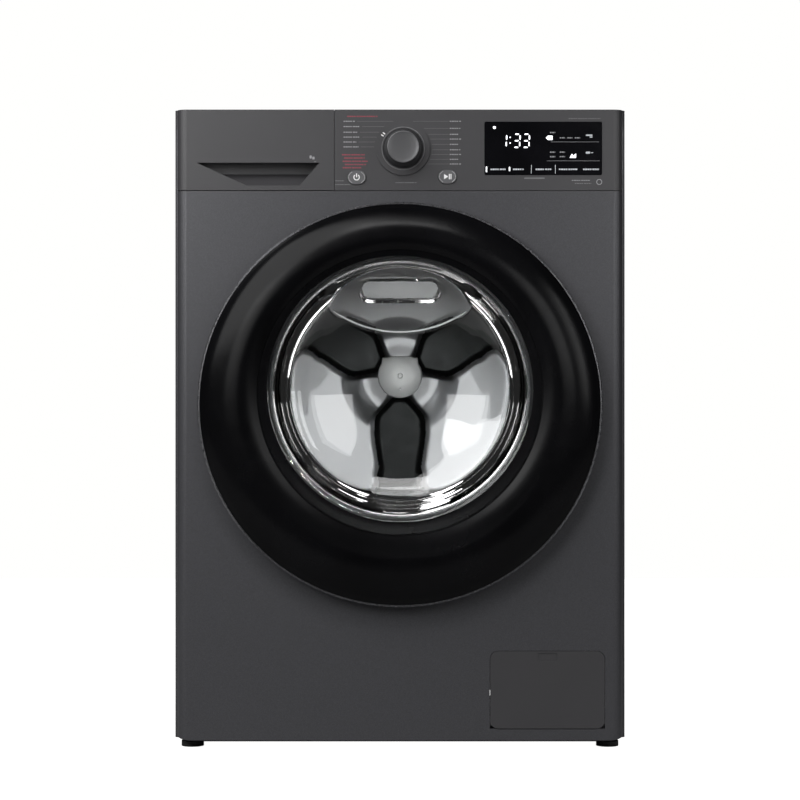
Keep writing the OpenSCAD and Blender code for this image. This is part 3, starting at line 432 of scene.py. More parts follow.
# Edge radii in millimetres
SOFT_EDGES = {"top_panel": 2.0, "front_panel": 0.4, "control_panel": 0.8, "drawer_front": 0.8,
              "service_flap": 0.5, "cabinet_shell": 0.4, "power_button": 0.7, "start_button": 0.7,
              "back_cover": 0.4, "drum_lifters": 3.0, "drawer_tray": 0.6, "dispenser_housing": 0.8,
              "hinge_bracket": 0.6, "door_inner_frame": 0.6, "transit_plugs": 0.6, "pump_filter": 0.6,
              "foot_front_left": 0.8, "foot_front_right": 0.8, "foot_rear_left": 0.8,
              "foot_rear_right": 0.8}


def dress_nodes():
    """Gives each CAD node its material, and a softened edge where it shows."""
    for look, names in NODE_LOOKS.items():
        for name in names:
            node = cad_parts[name]
            node.data.materials.clear()
            node.data.materials.append(look)
            crease(node, 25)
    for name, width in SOFT_EDGES.items():
        soften(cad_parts[name], width * MM)


# ---- Door ----

def door_ring():
    """The black ring: its ridge and inner edge are centred higher than its rim."""
    r, z, y, b = RIM_R, RIM.z, DOOR_Y, BOWL.z
    outer = catmull([
        (r - 5.5 * MM, RIM_Y - 6.6 * MM, z), (r - 13 * MM, y + 12 * MM, z + 0.6 * MM),
        (r - 24 * MM, y + 6.5 * MM, z + 2 * MM), (r - 38 * MM, y + 1.9 * MM, z + 4.8 * MM),
        (r - 53 * MM, y, z + 7.7 * MM), (r - 62 * MM, y + 0.7 * MM, z + 10 * MM),
        (r - 71 * MM, y + 3.0 * MM, z + 13 * MM), (r - 79 * MM, y + 6.2 * MM, z + 15.4 * MM)], 5)
    lip = [(r - 79.6 * MM, y + 7.6 * MM, z + 15.6 * MM), (r - 80.6 * MM, y + 7.6 * MM, z + 15.6 * MM),
           (r - 81.0 * MM, y + 6.6 * MM, z + 15.8 * MM)]
    seat = [(181 * MM, y + 7.4 * MM, b - 2 * MM), (177 * MM, y + 8.0 * MM, b - 0.6 * MM),
            (174.6 * MM, y + 8.6 * MM, b), (174.6 * MM, GLASS_Y - 0.2 * MM, b),
            (FLANGE_R + 0.4 * MM, GLASS_Y - 0.2 * MM, b), (FLANGE_R + 0.6 * MM, y + 16 * MM, b),
            (FLANGE_R + 3 * MM, y + 16 * MM, b)]
    under = [(r - 74 * MM, y + 7.5 * MM, z + 13 * MM), (r - 53 * MM, y + 3.5 * MM, z + 7.7 * MM),
             (r - 24 * MM, y + 10 * MM, z + 2 * MM), (r - 9 * MM, y + 17.5 * MM, z),
             (r - 5.2 * MM, RIM_Y - 3 * MM, z), (r - 5.2 * MM, RIM_Y, z), (r - 2.9 * MM, RIM_Y, z),
             (r - 2.9 * MM, RIM_Y - 4.6 * MM, z)]
    piece = crease(lathe("door_ring_gloss", outer + lip + seat + under, door_gloss, 256), 35)
    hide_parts("door_ring")
    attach(piece, "door")


def door_trim():
    """Bright knurled band round the rim."""
    around = 420
    verts = []
    section = [(-2.6, -4.2), (-1.0, -4.2), (0, -3.0), (0, -1.2), (-1.0, 0), (-2.6, 0)]
    for k in range(around):
        a = TAU * k / around
        tooth = 0.7 if k % 3 == 0 else 0.0
        for dr, dy in section:
            out = RIM_R + (dr - (tooth if dr > -2 else 0)) * MM
            verts.append((out * math.cos(a), RIM_Y + dy * MM, RIM.z + out * math.sin(a)))
    n = len(section)
    faces = []
    for k in range(around):
        here, ahead = k * n, ((k + 1) % around) * n
        faces += [(here + i, here + (i + 1) % n, ahead + (i + 1) % n, ahead + i) for i in range(n)]
    piece = mesh_piece("door_trim_knurled", verts, faces, trim_metal, smooth=False)
    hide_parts("door_trim")
    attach(piece, "door")


# The bowl's free end: a shallow dome, cut at the top by a slanted plane that carries a boss
DOME = 1.5  # how fast the end curves away from its middle, per metre
GLASS_WALL = 5 * MM
BOWL_SEAT_Y = -0.272  # the facet doesn't reach the rim in front of this
FACET_SLOPE = 0.71
FACET_FOOT = 76 * MM  # height over the bowl's middle where the plane meets the dome
FACET_DROP = 8.6 * MM
BOSS_HEIGHT, BOSS_HALF, BOSS_R, BOSS_RISE = 131 * MM, 40 * MM, 13 * MM, 3 * MM


def on_boss(x, z):
    """How far out a point lies from the middle line of the oblong boss: 1 at its edge."""
    return math.hypot(max(abs(x) - BOSS_HALF, 0), z - BOWL.z - BOSS_HEIGHT) / BOSS_R


def facet(x, z, y, lift):
    """The bowl is flattened by a slanted plane at the top, and carries an oblong boss there."""
    height = z - BOWL.z
    if height > 0:
        plane = BOWL_END - lift - FACET_DROP - FACET_SLOPE * (height - FACET_FOOT)
        soft = 1.5 * MM
        d = y - plane
        y = plane + 0.5 * (d - math.sqrt(d * d + soft * soft))
    return y - BOSS_RISE * smooth_step((1.25 - on_boss(x, z)) / 0.4)


def facet_painted_highlight():
    """A frosted bead along the crease where the plane leaves the dome, painted highlight standing in for the
    crease's bright line: it sags in the middle.
    """
    path = []
    for i in range(-22, 23):
        x = 4 * MM * i
        rest = FACET_SLOPE * FACET_FOOT - FACET_DROP + DOME * x * x
        height = (FACET_SLOPE - math.sqrt(FACET_SLOPE ** 2 - 4 * DOME * rest)) / (2 * DOME)
        path.append((x, BOWL_END - DOME * (x * x + height * height) + 0.2 * MM, BOWL.z + height))
    return tube("facet_painted_highlight", path, 1 * MM, frosted, 10)


def door_glass():
    """Deep thick bowl with a slanted facet at the top."""
    b = FLANGE_R - 12 * MM

    def dome(r, thick):
        return (r, BOWL_END - thick - DOME * r * r)

    outside = catmull([(b, GLASS_Y + 6 * MM), (b - 3.6 * MM, -0.264), (b - 9 * MM, -0.243),
                       (b - 21 * MM, -0.225), dome(128 * MM, 0), dome(108 * MM, 0), dome(72 * MM, 0),
                       dome(34 * MM, 0), dome(0.5 * MM, 0)], 12)
    inside = catmull([dome(0.5 * MM, GLASS_WALL), dome(34 * MM, GLASS_WALL), dome(70 * MM, 5.1 * MM),
                      dome(104 * MM, 5.3 * MM), dome(122 * MM, 5.6 * MM), (b - 28 * MM, -0.2285),
                      (b - 15 * MM, -0.2445), (b - 9 * MM, -0.265), (b - 5.5 * MM, GLASS_Y + 3 * MM)], 12)
    flange = [(b - 3.5 * MM, GLASS_Y + 0.6 * MM), (b - 1 * MM, GLASS_Y), (FLANGE_R - 0.8 * MM, GLASS_Y),
              (FLANGE_R - 0.1 * MM, GLASS_Y + 0.8 * MM), (FLANGE_R - 0.1 * MM, GLASS_Y + 5.4 * MM),
              (FLANGE_R - 0.8 * MM, GLASS_Y + 6 * MM)]
    stations = [(r, y, BOWL.z) for r, y in outside + inside + flange]
    around = 320
    piece = lathe("door_glass_bowl", stations, glass, around)
    mesh = piece.data
    first_inside, last_inside = len(outside) * around, (len(outside) + len(inside)) * around
    for i, v in enumerate(mesh.vertices):
        if i < last_inside and v.co.y > BOWL_SEAT_Y:
            v.co.y = facet(v.co.x, v.co.z, v.co.y, 0 if i < first_inside else GLASS_WALL)
    mesh.materials.append(frosted)
    for face in mesh.polygons:
        if face.index < (len(outside) - 1) * around and face.center.y > BOWL_SEAT_Y:
            face.material_index = int(on_boss(face.center.x, face.center.z) < 0.9)
    piece = join("door_glass_bowl", [piece, facet_painted_highlight()])
    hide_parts("door_glass")
    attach(piece, "door")


# ---- Drum ----

def drum_shell():
    """Perforated wall with a rolled mouth. Each hole sits in a diamond tile, so rows stagger."""
    r = DRUM_R - 0.4 * MM
    columns, rows = 120, 50
    y0, y1 = DRUM_Y0 + 20 * MM, DRUM_Y1 - 1 * MM
    pitch = (y1 - y0) / rows
    hole = 1.9 * MM
    width = TAU * r / columns
    verts, index, faces = [], {}, []

    def vert(u, v):
        key = (round((u % (TAU * r)) / (0.01 * MM)) % round(TAU * r / (0.01 * MM)), round(v / (0.01 * MM)))
        if key not in index:
            index[key] = len(verts)
            a = u / r
            verts.append((DRUM.x + r * math.cos(a), v, DRUM.z + r * math.sin(a)))
        return index[key]

    for j in range(1, rows):
        for i in range(columns):
            u = (i + 0.5 * (j % 2)) * width
            v = y0 + j * pitch
            turns = [TAU * k / 8 for k in range(8)]
            ring = [vert(u + hole * math.cos(a), v + hole * math.sin(a)) for a in turns]
            corner = [vert(u + width / 2, v), vert(u, v + pitch), vert(u - width / 2, v),
                      vert(u, v - pitch)]
            for k in range(4):
                a, b, c = ring[2 * k], ring[2 * k + 1], ring[(2 * k + 2) % 8]
                faces.append((corner[k], corner[(k + 1) % 4], c, b, a))
    for edge, first, out in ((y0, y0 + pitch, 1), (y1, y1 - pitch, -1)):
        odd = 1 if edge == y0 else (rows - 1) % 2
        for i in range(columns):
            u = (i + 0.5 * odd) * width
            tip = vert(u, edge)
            side = vert(u + width / 2, first)
            after = vert(u + width, edge)
            faces.append((tip, side, after) if out < 0 else (tip, after, side))
    wall = mesh_piece("drum_wall", verts, faces, steel)
    mod = wall.modifiers.new("Sheet", "SOLIDIFY")
    mod.thickness = 0.7 * MM
    mod.offset = 0
    mouth = half_width("gasket_clamp") - 17 * MM
    y = DRUM_Y0
    profile = catmull([(r, y0 + 0.5 * MM), (r, y + 13 * MM), (r - 3 * MM, y + 7 * MM),
                       (r - 9 * MM, y + 4.6 * MM), (r - 30 * MM, y + 4.0 * MM),
                       (mouth + 9 * MM, y + 1.4 * MM), (mouth + 4 * MM, y),
                       (mouth + 0.8 * MM, y + 1.6 * MM), (mouth, y + 5 * MM),
                       (mouth + 1.6 * MM, y + 9 * MM)], 5)
    back = [(q - 1.0 * MM if i < len(profile) // 2 else q + 0.9 * MM, v + 1.0 * MM)
            for i, (q, v) in reversed(list(enumerate(profile)))]
    lip = lathe("drum_mouth", [(q, v, DRUM.z) for q, v in profile + back], steel, 192)
    for piece in (wall, lip):
        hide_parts("drum_shell")
        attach(piece, "drum")


# A petal's floor along its middle line, in millimetres from the drum's axis
PETAL_START, PETAL_ROUND, PETAL_END = 22, 170, 200
PETAL_MIDDLES = (math.radians(270), math.radians(30), math.radians(150))


def in_petal(rho, angle):
    """1 on the flat floors of the three petals between the star's arms, 0 on the arms."""
    nearest = min((abs((angle - a + math.pi) % TAU - math.pi), a) for a in PETAL_MIDDLES)[1]
    turn = angle - nearest
    along, across = rho * math.cos(turn) / MM, abs(rho * math.sin(turn)) / MM
    half = 12 + 26 * smooth_step((along - 26) / 42) - 8 * smooth_step((along - 80) / 80)
    if along > PETAL_ROUND:
        half *= math.sqrt(max(0.0, 1 - ((along - PETAL_ROUND) / (PETAL_END - PETAL_ROUND)) ** 2))
    return smooth_step((half - across) / 18 + 0.5) * smooth_step((along - PETAL_START) / 16)


def drum_back():
    """Pressed back plate: a three-armed star between three petals; the petal floors get a near black copy of
    the steel as painted shade.
    """
    around, rings = 360, 84
    r0, r1 = 6 * MM, DRUM_R - 1.2 * MM
    front = []
    y_hub, y_rim = HUB.y + 6.2 * MM, DRUM_Y1 - 2.5 * MM
    floor = y_rim - 1 * MM
    for i in range(rings + 1):
        rho = r0 + (r1 - r0) * i / rings
        arm = y_hub + 3 * MM * smooth_step((rho - 22 * MM) / (32 * MM))
        arm += 12 * MM * smooth_step((rho - 54 * MM) / (36 * MM))
        rim = 8 * MM * smooth_step((rho - r1 + 26 * MM) / (18 * MM))
        for k in range(around):
            a = TAU * k / around
            petal = in_petal(rho, a)
            y = min(arm * (1 - petal) + floor * petal + rim, y_rim)
            front.append((DRUM.x + rho * math.cos(a), y, DRUM.z + rho * math.sin(a)))
    verts = front + [(x, y + 1.2 * MM, z) for x, y, z in front]
    faces = []
    n = len(front)
    for i in range(rings):
        for k in range(around):
            m = (k + 1) % around
            quad = (i * around + k, (i + 1) * around + k, (i + 1) * around + m, i * around + m)
            faces.append(quad)
            faces.append(tuple(q + n for q in reversed(quad)))
    for k in range(around):
        m = (k + 1) % around
        faces.append((k, m, m + n, k + n))
        top = rings * around
        faces.append((top + m, top + k, top + k + n, top + m + n))
    piece = mesh_piece("drum_back_star", verts, faces, steel_back)
    # The petals take the darkened copy of the steel, painted shade; the arms keep the steel's own colour.
    piece.data.materials.append(petal_painted_shade)
    for face in piece.data.polygons:
        x, z = face.center.x - DRUM.x, face.center.z - DRUM.z
        face.material_index = int(in_petal(math.hypot(x, z), math.atan2(z, x) % TAU) > 0.5)
    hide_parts("drum_back")
    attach(piece, "drum")


def hub_cap():
    """Round cap with a flat at the top and a shallow rim."""
    outline, r, around = [], 33 * MM, 96
    for k in range(around):
        a = TAU * k / around
        x, z = r * math.cos(a), r * math.sin(a)
        if z > 17 * MM and abs(x) < 27 * MM:
            z = min(max(z, 27 * MM), 29 * MM)
        outline.append((x, z))
    y1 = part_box("hub_cap")[1].y
    y0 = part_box("hub_cap")[0].y
    outline = [(DRUM.x + x, DRUM.z + z) for x, z in outline]
    piece = plate("hub_cap_face", outline, y0 + 1 * MM, y1, hub_plastic, edge=2.2 * MM)
    dimple = lathe("hub_dimple", [(2.6 * MM, y0 + 1.2 * MM, DRUM.z), (3.6 * MM, y0 + 0.4 * MM, DRUM.z),
                                  (4.6 * MM, y0 + 1.2 * MM, DRUM.z)], hub_plastic, 32)
    piece = join("hub_cap_face", [piece, dimple])
    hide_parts("hub_cap")
    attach(piece, "drum")


def bellows():
    """Grey rubber bellows with its folds, from the porthole's collar to the tub's mouth."""
    p = half_width("gasket") + 0.6 * MM
    tub = half_width("gasket_clamp") - 2.4 * MM
    y_bowl, y_drum = -0.236, -0.206

    def centre(y):
        return BOWL.z + (DRUM.z - BOWL.z) * smooth_step((y - y_bowl) / (y_drum - y_bowl))

    outer = catmull([(p - 1.0 * MM, -0.2615), (p - 0.8 * MM, -0.246), (p - 6 * MM, -0.237),
                     (p - 1.6 * MM, -0.226), (p - 7 * MM, -0.216), (p - 14 * MM, -0.208), (tub, -0.198),
                     (tub, -0.188)], 6)
    inner = catmull([(tub - 5 * MM, -0.188), (tub - 5 * MM, -0.199), (p - 18 * MM, -0.2105),
                     (p - 11 * MM, -0.218), (p - 6.4 * MM, -0.226), (p - 11 * MM, -0.236),
                     (p - 10 * MM, -0.246), (p - 13.5 * MM, -0.2605)], 6)
    piece = lathe("door_bellows", [(r, y, centre(y)) for r, y in outer + inner], rubber, 192)
    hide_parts("gasket")
    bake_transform(piece)


# ---- Springs and hoses between cabinet and tub ----

def tube(name, path, radius, material, around=20, wall=0.0, ripple=0.0):
    """A round bar or hose swept along a path; a rippled one swells at every other ring."""
    points = [Vector(p) for p in path]
    count = len(points)
    heads = [(points[min(i + 1, count - 1)] - points[max(i - 1, 0)]).normalized() for i in range(count)]
    side = heads[0].orthogonal().normalized()
    outer, inner = [], []
    for i, (point, head) in enumerate(zip(points, heads)):
        side = (side - side.dot(head) * head).normalized()
        other = head.cross(side)
        size = radius + (ripple if i % 4 in (1, 2) and 3 < i < count - 4 else 0.0)
        for k in range(around):
            a = TAU * k / around
            turn = math.cos(a) * side + math.sin(a) * other
            outer.append(point + size * turn)
            inner.append(point + (radius - wall) * turn)
    faces = loop_faces(count, around, False)
    if wall:
        n = len(outer)
        faces += [tuple(q + n for q in reversed(face)) for face in faces]
        last = (count - 1) * around
        for k in range(around):
            m = (k + 1) % around
            faces.append((m, k, k + n, m + n))
            faces.append((last + k, last + m, last + m + n, last + k + n))
        outer += inner
    else:
        faces += [tuple(reversed(range(around))), tuple(range((count - 1) * around, count * around))]
    return mesh_piece(name, outer, faces, material)


def springs():
    """The tub hangs on two coil springs."""
    low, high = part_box("suspension_springs")
    x_out, y = high.x, (low.y + high.y) / 2
    wire = 2 * MM
    coil = (high.y - low.y) / 2 - wire
    turns, steps = 13, 20
    parts = []
    for s in (-1, 1):
        x = s * (x_out - coil - wire)
        path = []
        for i in range(turns * steps + 1):
            a = TAU * i / steps
            path.append((x + coil * math.cos(a), y + coil * math.sin(a),
                         low.z + wire + (high.z - low.z - 2 * wire) * i / (turns * steps)))
        parts.append(tube("spring", path, wire * 0.97, zinc, 10))
    piece = join("tub_springs", parts)
    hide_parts("suspension_springs")
    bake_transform(piece)


def fill_hose():
    """Concertina hose from the dispenser down to the tub."""
    low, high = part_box("fill_hose")
    x, y = (low.x + high.x) / 2, (low.y + high.y) / 2
    r = (high.x - low.x) / 2
    folds, around = 11, 48
    fold = (high.z - low.z) / (folds + 1)
    outside = [(r - 2.5 * MM, low.z)]
    for i in range(folds):
        z = low.z + (i + 0.55) * fold
        outside += [(r - 2.6 * MM, z - 0.3 * fold), (r - 0.6 * MM, z - 0.1 * fold), (r, z + 0.12 * fold),
                    (r - 0.6 * MM, z + 0.34 * fold)]
    outside.append((r - 2.5 * MM, high.z))
    profile = outside + [(r - 4.6 * MM, high.z), (r - 4.6 * MM, low.z)]
    verts = [(x + q * math.cos(TAU * k / around), y + q * math.sin(TAU * k / around), z)
             for q, z in profile for k in range(around)]
    faces = loop_faces(len(profile), around, True)
    piece = crease(mesh_piece("concertina_hose", verts, faces, hose_rubber), 60)
    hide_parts("fill_hose")
    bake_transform(piece)


def sump_hose():
    """Wide ribbed hose from the tub's sump down to the pump."""
    low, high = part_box("sump_hose")
    inset = 23 * MM  # from the sides of its box to the middle of either end
    top, foot = (low.x + inset, high.y - inset), (high.x - inset, low.y + inset)
    rise = high.z - low.z
    stations = [(0, 1.0), (0, 0.93), (0, 0.84), (0.06, 0.66), (0.26, 0.53), (0.57, 0.46), (0.82, 0.41),
                (0.96, 0.29), (1, 0.17), (1, 0.08), (1, 0.0)]
    route = [(top[0] + (foot[0] - top[0]) * t, top[1] + (foot[1] - top[1]) * t, low.z + rise * z)
             for t, z in stations]
    path = catmull(route, 7)
    piece = tube("pump_hose", path, 21.6 * MM, hose_rubber, 40, wall=2.2 * MM, ripple=1.2 * MM)
    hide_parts("sump_hose")
    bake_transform(piece)


# ---- Controls ----

FACE = FRONT_Y - 0.02 * MM
INK = 0.12 * MM


def mark(x0, z0, x1, z1, material, y=FACE, r=0.0):
    """A printed bar between two corners given in millimetres, a hair proud of the surface at y."""
    x0, z0, x1, z1 = (v * MM for v in (x0, z0, x1, z1))
    outline = rounded(x0, z0, x1, z1, r * MM, 5) if r else [(x1, z0), (x1, z1), (x0, z1), (x0, z0)]
    return plate("mark", outline, y - INK, y, material)


def print_on(name, parts, body="cabinet"):
    """Joins printed marks into one piece on a body."""
    piece = join(name, parts)
    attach(piece, body)
    return piece


def ring_mark(x, z, r, width, a0, a1, material, y=FACE, steps=24):
    """A printed arc about a point, from angle a0 to a1 in degrees; all sizes in millimetres."""
    angles = [math.radians(a0 + (a1 - a0) * i / steps) for i in range(steps + 1)]
    verts = []
    for q, d in ((r - width / 2, 0), (r + width / 2, 0), (r + width / 2, INK), (r - width / 2, INK)):
        verts += [((x + q * math.cos(a)) * MM, y - d, (z + q * math.sin(a)) * MM) for a in angles]
    n = steps + 1
    faces = [(k * n + i, k * n + i + 1, ((k + 1) % 4) * n + i + 1, ((k + 1) % 4) * n + i)
             for k in range(4) for i in range(steps)]
    faces += [(0, n, 2 * n, 3 * n), (4 * n - 1, 3 * n - 1, 2 * n - 1, n - 1)]
    return mesh_piece("mark", verts, faces, material, smooth=False)


def knob():
    """Knob with a gently dished metal cap and a ribbed skirt."""
    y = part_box("knob")[0].y
    foot = half_width("knob")
    x, z = KNOB.x, KNOB.z
    cap = catmull([(0.3 * MM, y + 1.5 * MM), (9 * MM, y + 1.3 * MM), (16 * MM, y + 0.7 * MM),
                   (19.4 * MM, y + 0.1 * MM), (20.3 * MM, y), (21.1 * MM, y + 0.5 * MM),
                   (21.4 * MM, y + 1.6 * MM)], 5)
    cap_piece = lathe("knob_cap", [(r, v, z) for r, v in cap], knob_face, 96, closed=False, x=x)
    around = 216
    skirt = [(21.3 * MM, y + 1.4 * MM, 0), (21.8 * MM, y + 2.4 * MM, 0), (22.3 * MM, y + 3.4 * MM, 1),
             (foot - 2.2 * MM, FRONT_Y - 6.4 * MM, 1), (foot - 1.9 * MM, FRONT_Y - 5.4 * MM, 0),
             (foot - 0.5 * MM, FRONT_Y - 3.2 * MM, 0), (foot, FRONT_Y - 2.4 * MM, 0),
             (foot, FRONT_Y - 0.4 * MM, 0), (4 * MM, FRONT_Y - 0.4 * MM, 0)]
    verts = []
    for r, v, ribbed in skirt:
        for k in range(around):
            a = TAU * k / around
            q = r - (0.35 * MM if ribbed and k % 3 == 0 else 0)
            verts.append((x + q * math.cos(a), v, z + q * math.sin(a)))
    faces = loop_faces(len(skirt), around, False)
    skirt_piece = crease(mesh_piece("knob_skirt", verts, faces, knob_side), 50)
    shaft = lathe("knob_shaft", [(3 * MM, FRONT_Y - 0.5 * MM, z), (3 * MM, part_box("knob")[1].y, z),
                                 (0.2 * MM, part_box("knob")[1].y, z)], knob_side, 24, closed=False, x=x)
    for piece in (cap_piece, join("knob_skirt", [skirt_piece, shaft])):
        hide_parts("knob")
        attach(piece, "knob")


def knob_surround():
    """Printed pointer and the fine ring on the knob's raised surround."""
    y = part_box("control_panel")[0].y
    x, z = KNOB.x / MM, KNOB.z / MM
    parts = []
    start, end = 30.5, 34.3
    for turn in (142, 148):
        a = math.radians(turn)
        x0, z0 = (x + start * math.cos(a)) * MM, (z + start * math.sin(a)) * MM
        x1, z1 = (x + end * math.cos(a)) * MM, (z + end * math.sin(a)) * MM
        nx, nz = -math.sin(a) * 0.7 * MM, math.cos(a) * 0.7 * MM
        outline = [(x0 - nx, z0 - nz), (x1 - nx, z1 - nz), (x1 + nx, z1 + nz), (x0 + nx, z0 + nz)]
        parts.append(plate("mark", outline, y - 0.1 * MM, y + 0.05 * MM, print_bright))
    print_on("knob_pointer", parts)
    print_on("knob_ring", [ring_mark(x, z, 28.4, 0.35, 0, 360, print_grey, y=y + 0.02 * MM, steps=96)])


def words(x, z, length, material, y=FACE, height=1.3):
    """A generic label: short strokes in a row stand for its letters."""
    parts = []
    end = x + length
    i = 0
    while x < end - 0.6:
        stroke = min(2.2 + (0.7 if i % 3 == 1 else 0.0), end - x)
        parts.append(mark(x, z - height / 2, x + stroke, z + height / 2, material, y=y, r=0.3))
        gap = 1.3 if i % 4 == 3 else 0.55
        x += stroke + gap
        i += 1
    return parts


def programme_marks():
    """Generic bars for the programme names on both sides of the knob, with their leader lines."""
    x_knob, z_knob, reach = KNOB.x / MM, KNOB.z / MM, 38.5
    parts, lines, red = [], [], []
    # Height and length of each name
    left = [(834, 15), (827, 22), (819.5, 19), (813, 22), (806.5, 17), (800, 20)]
    right = [(834, 15), (824.6, 14), (816.7, 12), (810.4, 15), (803.4, 11), (796.2, 14), (790, 15),
             (783.5, 12), (777.3, 15)]
    for z, length in left:
        parts += words(-75, z, length, print_grey)
        dz = min(abs(z - z_knob), reach - 1)
        stop = x_knob - math.sqrt(reach ** 2 - dz ** 2)
        lines.append(mark(-75 + length + 3, z - 0.16, stop, z + 0.16, print_faint))
    for z, length in right:
        parts += words(66, z, length, print_grey)
        dz = min(abs(z - z_knob), reach - 1)
        start = x_knob + math.sqrt(reach ** 2 - dz ** 2)
        lines.append(mark(start, z - 0.16, 64.5, z + 0.16, print_faint))
    for z, x0, length in ((840.5, -70, 40), (789.5, -77, 30), (785.2, -74, 27), (780.9, -76, 33),
                          (776.6, -73, 28), (772.3, -76, 26)):
        red += words(x0, z, length, print_red, height=1.5)
    red += words(-6, 752.5, 28, print_faint, height=1.0)
    red += words(-86, 755, 12, print_faint, height=1.0) + words(-86, 750, 20, print_faint, height=1.0)
    print_on("programme_names", parts)
    print_on("programme_leaders", lines)
    print_on("programme_notes", red)


def small_prints():
    """Small printed marks elsewhere on the control panel."""
    parts = words(224, 837.6, 42, print_faint, height=0.9) + words(228, 755.6, 24, print_grey, height=1.0)
    parts += words(232, 751.5, 22, print_faint, height=1.0)
    parts.append(mark(165, 757.6, 192, 759.3, print_faint, r=0.6))
    parts.append(ring_mark(264.5, 753.5, 3.4, 1.0, 0, 360, print_grey))
    print_on("small_prints", parts)
    drawer = [mark(-120, 784.6, -117.2, 788.6, print_grey, r=0.8),
              mark(-116.4, 783.4, -113.4, 787, print_grey, r=0.8),
              mark(-114, 779.8, -111.4, 781, print_faint, r=0.3)]
    print_on("drawer_print", drawer, "drawer")


def button_symbols():
    """The power and start symbols, and the broken ring round each key."""
    for node, body in (("power_button", "power_button"), ("start_button", "start_button")):
        c, y = middle(node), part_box(node)[0].y
        x, z = c.x / MM, c.z / MM
        if body == "power_button":
            parts = [ring_mark(x, z, 3.6, 1.3, 125, 415, print_bright, y=y),
                     mark(x - 0.65, z, x + 0.65, z + 5.2, print_bright, y=y)]
        else:
            play = [(x - 4.6, z - 3.6), (x + 1.0, z), (x - 4.6, z + 3.6)]
            parts = [plate("mark", [(a * MM, b * MM) for a, b in play], y - INK, y, print_bright),
                     mark(x + 1.8, z - 3.6, x + 3.1, z + 3.6, print_bright, y=y),
                     mark(x + 4.0, z - 3.6, x + 5.3, z + 3.6, print_bright, y=y)]
        print_on(body + "_symbol", parts, body)
        dots = []
        for s in (-1, 1):
            for turn in range(-64, 65, 16):
                a = math.radians(turn)
                px, pz = x + s * (3.2 + 7.4 * math.cos(a)), z + 7.4 * math.sin(a)
                dots.append(mark(px - 0.45, pz - 0.45, px + 0.45, pz + 0.45, print_white, y=y, r=0.4))
        print_on(body + "_ring", dots, body)


GLASS_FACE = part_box("display_window")[0].y - 0.01 * MM
LIT = 0.08 * MM
SEGMENTS = {"a": (0.5, 1), "g": (0.5, 0.5), "d": (0.5, 0), "f": (0, 0.75), "b": (1, 0.75), "e": (0, 0.25),
            "c": (1, 0.25)}


def digit(shape, x, z):
    """A seven-segment digit, lit segments only, leaning a little as such displays do."""
    width, height, thick = 8.4, 17.4, 1.7
    parts = []
    for key in shape:
        u, v = SEGMENTS[key]
        flat = key in "agd"
        half = (width / 2 - 1.4 if flat else height / 4 - 1.2)
        cx, cz = x + u * width, z + v * height
        lean = 0.06 * (cz - z)
        ends = [(-half, 0), (-half + thick / 2, thick / 2), (half - thick / 2, thick / 2), (half, 0),
                (half - thick / 2, -thick / 2), (-half + thick / 2, -thick / 2)]
        if not flat:
            ends = [(0, -half), (thick / 2, -half + thick / 2), (thick / 2, half - thick / 2), (0, half),
                    (-thick / 2, half - thick / 2), (-thick / 2, -half + thick / 2)]
        outline = [((cx + lean + a) * MM, (cz + b) * MM) for a, b in ends]
        parts.append(plate("mark", outline, GLASS_FACE - LIT, GLASS_FACE, digit_glow))
    return parts


def display():
    """Lit digits, icons and key labels behind the black window."""
    y = GLASS_FACE
    lit = digit("bc", 132.4, 799.4) + digit("abgcd", 150.2, 799.4) + digit("abgcd", 162.6, 799.4)
    for z in (804.2, 811.8):
        lit.append(mark(145.4, z, 147.0, z + 1.7, digit_glow, y=y, r=0.4))
    lit.append(mark(123.4, 823.8, 127.2, 827.4, digit_glow, y=y, r=1.7))
    lit.append(mark(114.0, 766.6, 115.6, 773.8, digit_glow, y=y))
    lit.append(mark(144.6, 768, 146.2, 773.4, digit_glow, y=y))
    tag = [(193.6, 812), (196.2, 809.2), (202.4, 809.2), (202.4, 814.8), (196.2, 814.8)]
    cup = [(225.2, 785.4), (233.6, 785.4), (233.6, 791.2), (230.2, 788.2), (228.4, 790.8), (226.6, 788.4)]
    for outline in (tag, cup):
        lit.append(plate("mark", [(a * MM, b * MM) for a, b in outline], y - LIT, y, digit_glow))
    print_on("display_digits", lit)
    dim = []
    for x, length in ((120, 20), (150, 14), (180, 21), (211, 26), (243, 21)):
        dim += words(x, 770.2, length, icon_glow, y=y, height=2.0)
    for x in (174, 205.8):
        dim.append(mark(x, 764.6, x + 0.7, 776, icon_glow, y=y))
    dim.append(mark(246.5, 814.6, 255.5, 816.4, icon_glow, y=y, r=0.8))
    dim.append(mark(251.5, 812.4, 255.5, 813.8, icon_glow, y=y, r=0.6))
    dim.append(mark(246.5, 791.0, 252.5, 793.6, icon_glow, y=y, r=1.0))
    dim.append(mark(253.4, 791.8, 256.5, 792.8, icon_glow, y=y, r=0.4))
    print_on("display_labels", dim)
    faint = [mark(200, 806.4, 264, 806.8, display_grey, y=y),
             mark(195, 781.3, 265, 781.7, display_grey, y=y)]
    for x, z in ((199, 819), (212, 812), (222, 812), (232, 812), (199, 793), (212, 793), (199, 787),
                 (212, 787)):
        faint += words(x, z, 7, display_grey, y=y, height=1.6)
    print_on("display_lines", faint)


# ---- Studio ----

